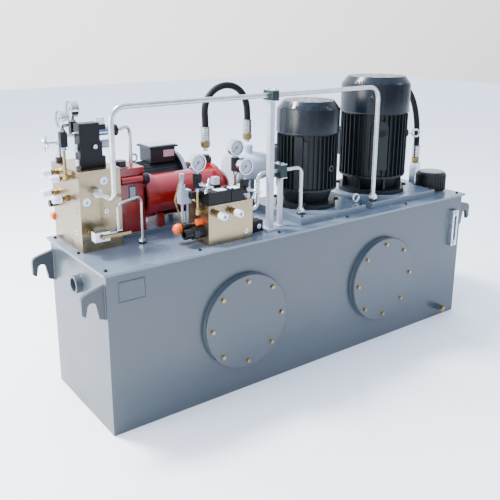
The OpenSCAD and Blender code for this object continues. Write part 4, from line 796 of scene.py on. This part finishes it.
@dataclass
class Studio:
    """The camera, a pale floor and soft light."""

    eye: tuple[float, float, float] = (-1.908, -2.309, 1.486)
    azimuth: float = 35.73
    pitch: float = 15.59
    lens: float = 48.22
    shift: tuple[float, float] = (0.0268, -0.0764)
    bright_side: tuple[float, float, float] = (-0.35, 0.62, 0.7)
    dark_sky: float = 0.4
    bright_sky: float = 3.8
    sky_span: tuple[float, float] = (-0.6, 0.9)
    sky_tints: tuple[str, str] = ("FFFFFF", "B9D3FF")
    floor_half: float = 14.0
    middle: tuple[float, float, float] = (0.0, 0.0, 0.7)

    def camera(self) -> None:
        """Adds the camera."""
        data = bpy.data.cameras.new("camera")
        data.sensor_width = 36.0
        data.lens = self.lens
        data.shift_x, data.shift_y = self.shift
        data.clip_end = 60.0
        camera = bpy.data.objects.new("camera", data)
        camera.location = self.eye
        camera.rotation_euler = (radians(90.0 - self.pitch), 0.0, -radians(self.azimuth))
        bpy.context.scene.collection.objects.link(camera)
        bpy.context.scene.camera = camera

    def light(self, name: str, place: Vector, size: float, watts: float) -> None:
        """Adds a square soft light that faces the object."""
        data = bpy.data.lights.new(name, "AREA")
        data.energy, data.size = watts, size
        lamp = bpy.data.objects.new(name, data)
        lamp.location = place
        lamp.rotation_euler = (Vector(self.middle) - Vector(place)).to_track_quat("-Z", "Y").to_euler()
        bpy.context.scene.collection.objects.link(lamp)

    def build(self) -> None:
        """Adds the floor, the sky and the lights."""
        form = Form()
        bmesh.ops.create_grid(form.mesh, x_segments=1, y_segments=1, size=self.floor_half)
        data = bpy.data.meshes.new("floor")
        form.mesh.to_mesh(data)
        form.mesh.free()
        floor = bpy.data.objects.new("floor", data)
        bpy.context.scene.collection.objects.link(floor)
        floor_finish = Finish("pale_floor", "FBFBFB", 0.75, tone=0.0, gloss_spread=0.0, bump_mm=0.0)
        data.materials.append(floor_finish.material())
        world = bpy.data.worlds.new("sky")
        world.use_nodes = True
        tree = world.node_tree
        tree.nodes.clear()
        way = add_node(tree, "ShaderNodeTexCoord").outputs["Generated"]
        facing = add_node(tree, "ShaderNodeVectorMath", {"operation": "DOT_PRODUCT", 1: self.bright_side},
                          {0: way})
        glow = add_node(tree, "ShaderNodeMapRange",
                        {"From Min": self.sky_span[0], "From Max": self.sky_span[1],
                         "To Min": self.dark_sky, "To Max": self.bright_sky},
                        {"Value": facing.outputs["Value"]})
        rise = add_node(tree, "ShaderNodeVectorMath", {"operation": "DOT_PRODUCT", 1: tuple(Z)}, {0: way})
        tint = add_node(tree, "ShaderNodeValToRGB", {}, {"Fac": rise.outputs["Value"]})
        for element, hex_colour in zip(tint.color_ramp.elements, self.sky_tints):
            element.color = linear(hex_colour)
        sky = add_node(tree, "ShaderNodeBackground", {},
                       {"Color": tint.outputs["Color"], "Strength": glow.outputs["Result"]})
        add_node(tree, "ShaderNodeOutputWorld", {}, {"Surface": sky.outputs["Background"]})
        bpy.context.scene.world = world
        self.light("key", (-1.8, 1.6, 4.4), 0.9, 620.0)
        self.light("fill_left", (-4.6, 0.2, 1.6), 2.2, 220.0)
        self.light("rim_right", (3.6, -3.0, 3.2), 1.6, 40.0)


HOSE_ROUTES: dict[str, list[tuple[float, float, float]]] = {
    "hose_loop": [
        (-297, 167.5, 1052), (-297, 167.5, 1080), (-299, 167.5, 1106), (-299, 167.5, 1132),
        (-293, 167.5, 1158), (-280, 167.5, 1182), (-261, 167.5, 1202), (-237, 167.5, 1217),
        (-210, 167.5, 1226), (-181, 167.5, 1229), (-152, 167.5, 1225), (-125, 167.5, 1214),
        (-102, 167.5, 1197), (-85, 167.5, 1174), (-74, 167.5, 1148), (-68, 167.5, 1121),
        (-66, 167.5, 1093), (-66, 167.5, 1066)],
    "hose_rear": [
        (943, 8, 866), (943, 8, 902), (942, 10, 938), (940, 12, 974), (938, 16, 1010),
        (935, 22, 1046), (931, 30, 1081), (926, 42, 1114), (920, 58, 1145), (913, 80, 1170),
        (907, 106, 1184), (903, 134, 1186), (901, 161, 1175), (900, 185, 1154), (900, 204, 1126),
        (900, 217, 1094), (900, 224, 1060), (900, 227, 1026), (900, 228, 990), (900, 228, 954),
        (900, 228, 918), (900, 228, 882), (900, 228, 846)],
}


@dataclass
class Hoses:
    """The two rubber hoses, as curves along their routes."""

    radius: float = 0.0148

    def build(self) -> None:
        for name, route in HOSE_ROUTES.items():
            points = [Vector(p) * MM for p in route]
            curve = bpy.data.curves.new(name + "_rubber", "CURVE")
            curve.dimensions = "3D"
            curve.bevel_depth = self.radius
            curve.bevel_resolution = 8
            curve.resolution_u = 6
            curve.use_fill_caps = True
            spline = curve.splines.new("NURBS")
            spline.points.add(len(points) - 1)
            for point, place in zip(spline.points, points):
                point.co = (*place, 1.0)
            spline.use_endpoint_u = True
            spline.order_u = 4
            hose = bpy.data.objects.new(name + "_rubber", curve)
            bpy.context.scene.collection.objects.link(hose)
            curve.materials.append(HOSE.material())
            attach(hose, ROOT)
            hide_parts(name)


@dataclass(frozen=True)
class Share:
    """The solids of a CAD node that have a finish of their own, picked by their spaces."""

    name: str
    node: str
    finish: Finish
    slot: str
    bevel_mm: float
    keep: Callable[[Space], bool]

    def build(self) -> None:
        """Makes the rounded copy of these solids."""
        form = Form().copy_node(self.node, self.bevel_mm * MM, self.keep)
        form.piece(self.name, self.finish, self.slot, body_of(self.node), (self.node,))


def is_stack_block(s: Space) -> bool:
    """Picks the black parts of the left valve stack."""
    return s.size.x > 0.075 or abs(s.size.x - 0.028) < 0.001 or abs(s.size.z - 0.044) < 0.001


def is_front_plug(s: Space) -> bool:
    """Picks the clear plug housing of the front valves."""
    return abs(s.size.x - 0.028) < 0.001 and s.size.z < 0.04


def is_clamp_half(s: Space) -> bool:
    """Picks the green clamp bodies, not the plates and bolts over them."""
    return s.size.z > 0.02


STACK, FRONT, CLAMPS = "valve_stack_left", "valves_front", "clamp_blocks"
SHARES: list[Share] = [
    Share("stack_valves", STACK, VALVE, "valve_black", 1.6, is_stack_block),
    Share("stack_coil", STACK, BLUED, "zinc_steel", 1.0, lambda s: 0.055 < s.size.x < 0.07),
    Share("stack_sensor", STACK, PALE, "zinc_steel", 2.0, lambda s: 0.045 < s.size.x < 0.055),
    Share("stack_plug_window", STACK, CLEAR, "gauge_glass", 1.5,
          lambda s: abs(s.size.x - 0.024) < 0.001 and s.size.y > 0.025),
    Share("front_valves", FRONT, VALVE, "valve_black", 1.6,
          lambda s: not is_front_plug(s) and s.size.y > 0.008),
    Share("front_plug_window", FRONT, CLEAR, "gauge_glass", 1.5, is_front_plug),
    Share("front_coil_nut", FRONT, ZINC, "zinc_steel", 0.6, lambda s: s.size.y < 0.008),
    Share("relief_body", "relief_valve", PALE, "zinc_steel", 2.0, lambda s: True),
    Share("clamp_halves", CLAMPS, GREEN, "clamp_green", 1.6, is_clamp_half),
    Share("clamp_plates", CLAMPS, ZINC, "zinc_steel", 0.5, lambda s: not is_clamp_half(s)),
]


@dataclass
class Manifolds:
    """The small parts on the two manifolds and their valves."""

    cap_radius: float = 0.015

    def build(self) -> None:
        """Adds caps, rings, labels, screws and connectors."""
        self._caps()
        self._plug_rings()
        self._front_valves()
        self._left_stack()
        self._relief_bracket()

    def _caps(self) -> None:
        """Makes the turned test point caps with their sunk ends."""
        r = self.cap_radius
        white, inner, washer = Form(), Form(), Form()
        for s in solids("port_caps_white"):
            inward = X if s.size.x > s.size.y else Y
            foot = s.middle - inward * abs(s.size.dot(inward)) / 2
            white.lathe([(0, 0.006), (0.0074, 0.006), (0.0078, 0.0005), (r - 0.0025, 0),
                         (r - 0.0004, 0.002), (r, 0.009), (r - 0.0009, 0.0095), (r - 0.0009, 0.0118),
                         (r, 0.0123), (r, 0.0335), (0, 0.0335)], foot, inward, 48)
            # Painted shade: a darker disc at each cap's sunk inner end
            inner.disc(0.0072, 0.0052, 0.0058, foot, inward, 32)
            washer.disc(r - 0.002, 0.0342, 0.0385, foot, inward, 32)
        white.piece("test_point_caps", CAP_WHITE, "white_plastic", stands_for=("port_caps_white",))
        inner.piece("test_point_cap_ends", CAP_SHADE, "white_plastic")
        washer.piece("test_point_washers", OXIDE, "black_oxide")

    def _plug_rings(self) -> None:
        """Adds the dark sealing edge round every sunk plug."""
        form = Form()
        for s in solids("block_plugs"):
            inward = X if s.size.x < s.size.y else Y
            face = s.middle - inward * abs(s.size.dot(inward)) / 2
            radius = max(s.size.x, s.size.y) / 2 + 0.0004
            form.ring(face + inward * 0.0003, inward, radius, 0.0007, 40, 8)
        form.piece("plug_seal_edges", SEAL, "seal_rubber")

    def _front_valves(self) -> None:
        """Adds blank labels and screws to the front valves, and the gauges' union nuts."""
        tall = [s for s in solids(FRONT) if s.size.z > 0.048 and s.size.y > 0.055]
        wide, narrow = sorted(tall, key=lambda s: -s.size.x)[:2]
        top = wide.high.z
        labels, screws, nuts = Form(), Form(), Form()
        labels.block((wide.low.x + 0.046, wide.low.y + 0.012, top - 0.0002),
                     (wide.low.x + 0.094, wide.low.y + 0.05, top + 0.0006), 0.0)
        labels.block((narrow.low.x + 0.008, narrow.low.y + 0.01, top - 0.0002),
                     (narrow.high.x - 0.008, narrow.high.y - 0.01, top + 0.0006), 0.0)
        labels.piece("valve_labels_blank", LABEL, "white_plastic")
        for box in (wide, narrow):
            for x in (box.low.x + 0.009, box.high.x - 0.009):
                for y in (box.low.y + 0.008, box.high.y - 0.008):
                    screws.lathe([(0, 0.001), (0.0026, 0.001), (0.0026, 0.0045), (0.0046, 0.0045),
                                  (0.005, 0.0035), (0.005, 0), (0, 0)], (x, y, top), Z, 24)
        screws.piece("valve_screws", OXIDE, "black_oxide")
        for s in solids("gauge_valves"):
            beside_stack = s.middle.x < -0.9 and s.middle.y > 0.1
            foot = Vector((s.middle.x, s.middle.y, s.low.z))
            if not beside_stack:
                nuts.hexagon(foot - Z * 0.013, foot - Z * 0.0005, 0.0105)
            nuts.hexagon(foot + Z * (s.size.z + 0.0005), foot + Z * (s.size.z + 0.008), 0.0112)
        nuts.piece("gauge_union_nuts", BLUED, "zinc_steel")

    def _left_stack(self) -> None:
        """Adds the connectors and the post that stand beside the left valve stack."""
        block = space("manifold_left")
        stack = space(STACK)
        gauge, _ = joint("needle_a_sweep")
        feed = Vector((gauge.x, gauge.y, block.high.z + 0.128))
        steel, foot = Form(), Form()
        inlet = Vector((stack.low.x, feed.y, feed.z))
        steel.rod(feed + X * 0.012, inlet + X * 0.001, 0.005)
        steel.hexagon(inlet - X * 0.012, inlet, 0.009)
        for y, z, length in ((0.052, 0.066, 0.03), (0.046, 0.014, 0.024)):
            at = Vector((stack.low.x - 0.009, y, block.high.z + z))
            steel.rod(at, at + Z * length, 0.0075)
            steel.hexagon(at + Z * 0.006, at + Z * 0.014, 0.0095)
            steel.rod(at + Z * 0.01, at + Z * 0.01 + X * 0.01, 0.005)
        corner = Vector((block.low.x + 0.022, block.high.y - 0.04, block.high.z))
        foot.hexagon(corner, corner + Z * 0.02, 0.017)
        steel.rod(corner + Z * 0.02, corner + Z * 0.078, 0.0085)
        cap = Vector((stack.low.x + 0.06, stack.low.y, block.high.z + 0.081))
        steel.lathe([(0, -0.0015), (0.0035, -0.0015), (0.0035, -0.004), (0.0075, -0.004),
                     (0.0085, -0.003), (0.0085, 0.004), (0, 0.004)], cap, Y, 40)
        steel.piece("stack_connectors", ZINC, "zinc_steel")
        foot.piece("stack_post_foot", OXIDE, "black_oxide")

    def _relief_bracket(self) -> None:
        """Adds the bent yellow bracket at the relief valve."""
        body = next(s for s in solids("relief_valve") if s.size.x > 0.04)
        form = Form()
        tip = Vector((body.low.x - 0.026, body.low.y + 0.004, body.middle.z + 0.004))
        for x, z in ((body.low.x + 0.004, body.high.z - 0.002), (body.low.x + 0.012, body.low.z - 0.012)):
            form.rod(tip, (x, tip.y, z), 0.0035, sides=4, bevel=0.0003)
        form.piece("relief_bracket", YELLOW, "yellow_zinc")


@dataclass
class Pipework:
    """Hose ferrules, unions, pipe glands and the clamps' lower plates."""

    ferrule: float = 0.062
    radius: float = 0.0195
    presses: int = 5

    def build(self) -> None:
        """Adds all the pieces of the pipework."""
        crimp, brass = Form(), Form()
        for route in HOSE_ROUTES.values():
            for point in (route[0], route[-1]):
                end = Vector(point) * MM
                self._ferrule(crimp, end)
                under = end - Z * self.ferrule
                brass.hexagon(under - Z * 0.0235, under - Z * 0.003, 0.0215)
                brass.lathe([(0, 0), (0.017, 0), (0.0185, 0.0015), (0.0185, 0.007), (0, 0.007)],
                            under - Z * 0.0295, Z, 40)
        crimp.piece("hose_ferrules", CRIMP, "zinc_steel")
        brass.piece("hose_unions", BRASS, "yellow_zinc")
        glands = Form()
        for s in solids("steel_fittings"):
            if 0.6 < s.low.z < 0.685 and s.size.z > s.size.x * 0.5 and s.size.x < 0.05:
                wide, narrow = s.size.x * 0.52, s.size.x * 0.44
                glands.lathe([(0, 0), (wide, 0), (wide, 0.006), (narrow, 0.009), (0, 0.009)],
                             (s.middle.x, s.middle.y, s.low.z), Z, 40)
        glands.piece("pipe_glands", OXIDE, "black_oxide")
        plates, seams = Form(), Form()
        for s in filter(is_clamp_half, solids(CLAMPS)):
            plates.block((s.low.x - 0.001, s.low.y - 0.001, s.low.z - 0.0035),
                         (s.high.x + 0.001, s.high.y + 0.001, s.low.z - 0.0002), 0.0005)
            seams.block((s.low.x - 0.0002, s.low.y - 0.0002, s.middle.z - 0.0006),
                        (s.high.x + 0.0002, s.high.y + 0.0002, s.middle.z + 0.0006), 0.0)
        plates.piece("clamp_lower_plates", ZINC, "zinc_steel")
        seams.piece("clamp_seams", SEAL, "seal_rubber")

    def _ferrule(self, form: Form, end: Vector) -> None:
        """Adds one crimped ferrule with its pressed rings below a hose end."""
        r = self.radius
        profile = [(r - 0.0045, 0.0008), (r - 0.001, 0.0008), (r, -0.0015)]
        for i in range(self.presses):
            z = -0.006 - i * 0.0105
            profile += [(r, z), (r - 0.0011, z - 0.002), (r - 0.0011, z - 0.0055), (r, z - 0.0075)]
        profile += [(r, -self.ferrule + 0.001), (r - 0.002, -self.ferrule - 0.0005)]
        form.lathe(profile, end, Z, 48)


@dataclass
class Circulation:
    """The small parts of the red unit and its motor."""

    seam: float = 0.1
    panel_height: float = 0.198

    def build(self) -> None:
        """Adds the pieces of the unit, then those of its motor."""
        box = space("circ_housing")
        plug = max((s for s in solids("black_fittings") if s.size.x > 0.05), key=lambda s: s.low.z)
        washer, panels, edge, label = Form(), Form(), Form(), Form()
        washer.lathe([(0, 0), (0.033, 0), (0.034, 0.001), (0.034, 0.003), (0, 0.003)],
                     (plug.middle.x, plug.middle.y, plug.low.z), Z, 64)
        washer.piece("filler_washer", PALE, "zinc_steel")
        face = self._face(box)
        foot, seam = box.low.z + 0.004, box.low.x + self.seam
        for low, high in ((box.low.x + 0.003, seam - 0.0006), (seam + 0.0006, box.low.x + 0.137)):
            panels.block((low, face - 0.0012, foot), (high, face + 0.0005, foot + self.panel_height),
                         0.0004)
        panels.piece("unit_front_panels", RED, slot_of("circ_housing"))
        x, z = box.low.x + 0.067, plug.low.z - 0.137
        edge.block((x, face - 0.0026, z), (x + 0.033, face + 0.001, z + 0.065), 0.0005)
        edge.piece("unit_label_frame", OXIDE, "black_oxide")
        label.block((x + 0.004, face - 0.003, z + 0.004), (x + 0.029, face, z + 0.061), 0.0002)
        label.piece("unit_label_blank", PALE, "zinc_steel")
        self._motor()

    def _motor(self) -> None:
        """Adds the terminal box's lid panel, the blank sticker and the flange's rim."""
        term = solids("terminal_boxes")[0]
        panel, sticker, rim = Form(), Form(), Form()
        panel.block((term.low.x + 0.012, term.low.y + 0.012, term.high.z - 0.001),
                    (term.high.x - 0.012, term.high.y - 0.012, term.high.z + 0.0035), 0.003)
        panel.piece("terminal_lid_panel", PALE, "motor_paint")
        near = term.low.y + 0.01
        sticker.block((term.middle.x + 0.002, near - 0.0008, term.high.z - 0.05),
                      (term.middle.x + 0.055, near + 0.0002, term.high.z - 0.02), 0.0)
        sticker.piece("terminal_sticker_blank", STICKER, "white_plastic")
        motor = space("circ_motor_frame")
        place, _ = joint("circulation_spin")
        start = Vector((motor.low.x + 0.2165, place.y - 0.001, place.z))
        rim.lathe([(0.112, 0), (0.1185, 0), (0.1188, 0.001), (0.1188, 0.015), (0.1185, 0.016),
                   (0.112, 0.016)], start, X, 96)
        rim.piece("circulation_flange_rim", PALE, "motor_paint")

    def _face(self, box: Space) -> float:
        """Finds the plane of the red box's near face, behind its bar.

        Args:
            box: the whole housing.

        Returns:
            The Y of the face.
        """
        return min(v.co.y for v in frame["nodes"]["circ_housing"].data.vertices
                   if v.co.x < box.low.x + 0.001 and v.co.z > box.high.z - 0.002)


@dataclass
class Breather:
    """The filler cap's glossy top and rim, the top lighter for a painted sheen."""

    def build(self) -> None:
        """Adds the pieces that lift with the cap."""
        cap = space("breather_cap")
        radius = cap.size.x / 2
        form = Form()
        top = Vector((cap.middle.x, cap.middle.y, cap.high.z))
        # Painted sheen: a lighter nylon disc on the cap's top
        form.lathe([(0, 0.0006), (radius - 0.024, 0.0006), (radius - 0.022, -0.0004),
                    (radius - 0.019, 0.0008), (radius - 0.0155, 0.0008), (radius - 0.014, -0.001),
                    (0, -0.001)], top, Z, 96)
        form.piece("breather_cap_top", NYLON_SHEEN, "black_plastic", "breather_cap")


def dress_nodes() -> None:
    """Gives every CAD node its finish."""
    for name, node in frame["nodes"].items():
        node.data.materials.clear()
        node.data.materials.append(NODE_FINISH[name].material())


def main() -> None:
    """Builds the looks in order."""
    logging.basicConfig(level=logging.INFO, format="%(message)s")
    studio = Studio()
    studio.camera()
    Hoses().build()
    studio.build()
    dress_nodes()
    Rounded().build()
    Tank().build()
    for assembly in (*MOTORS, Gauges(), *SHARES, Manifolds(), Pipework(), Circulation(), Breather()):
        assembly.build()


if __name__ == "__main__":
    main()
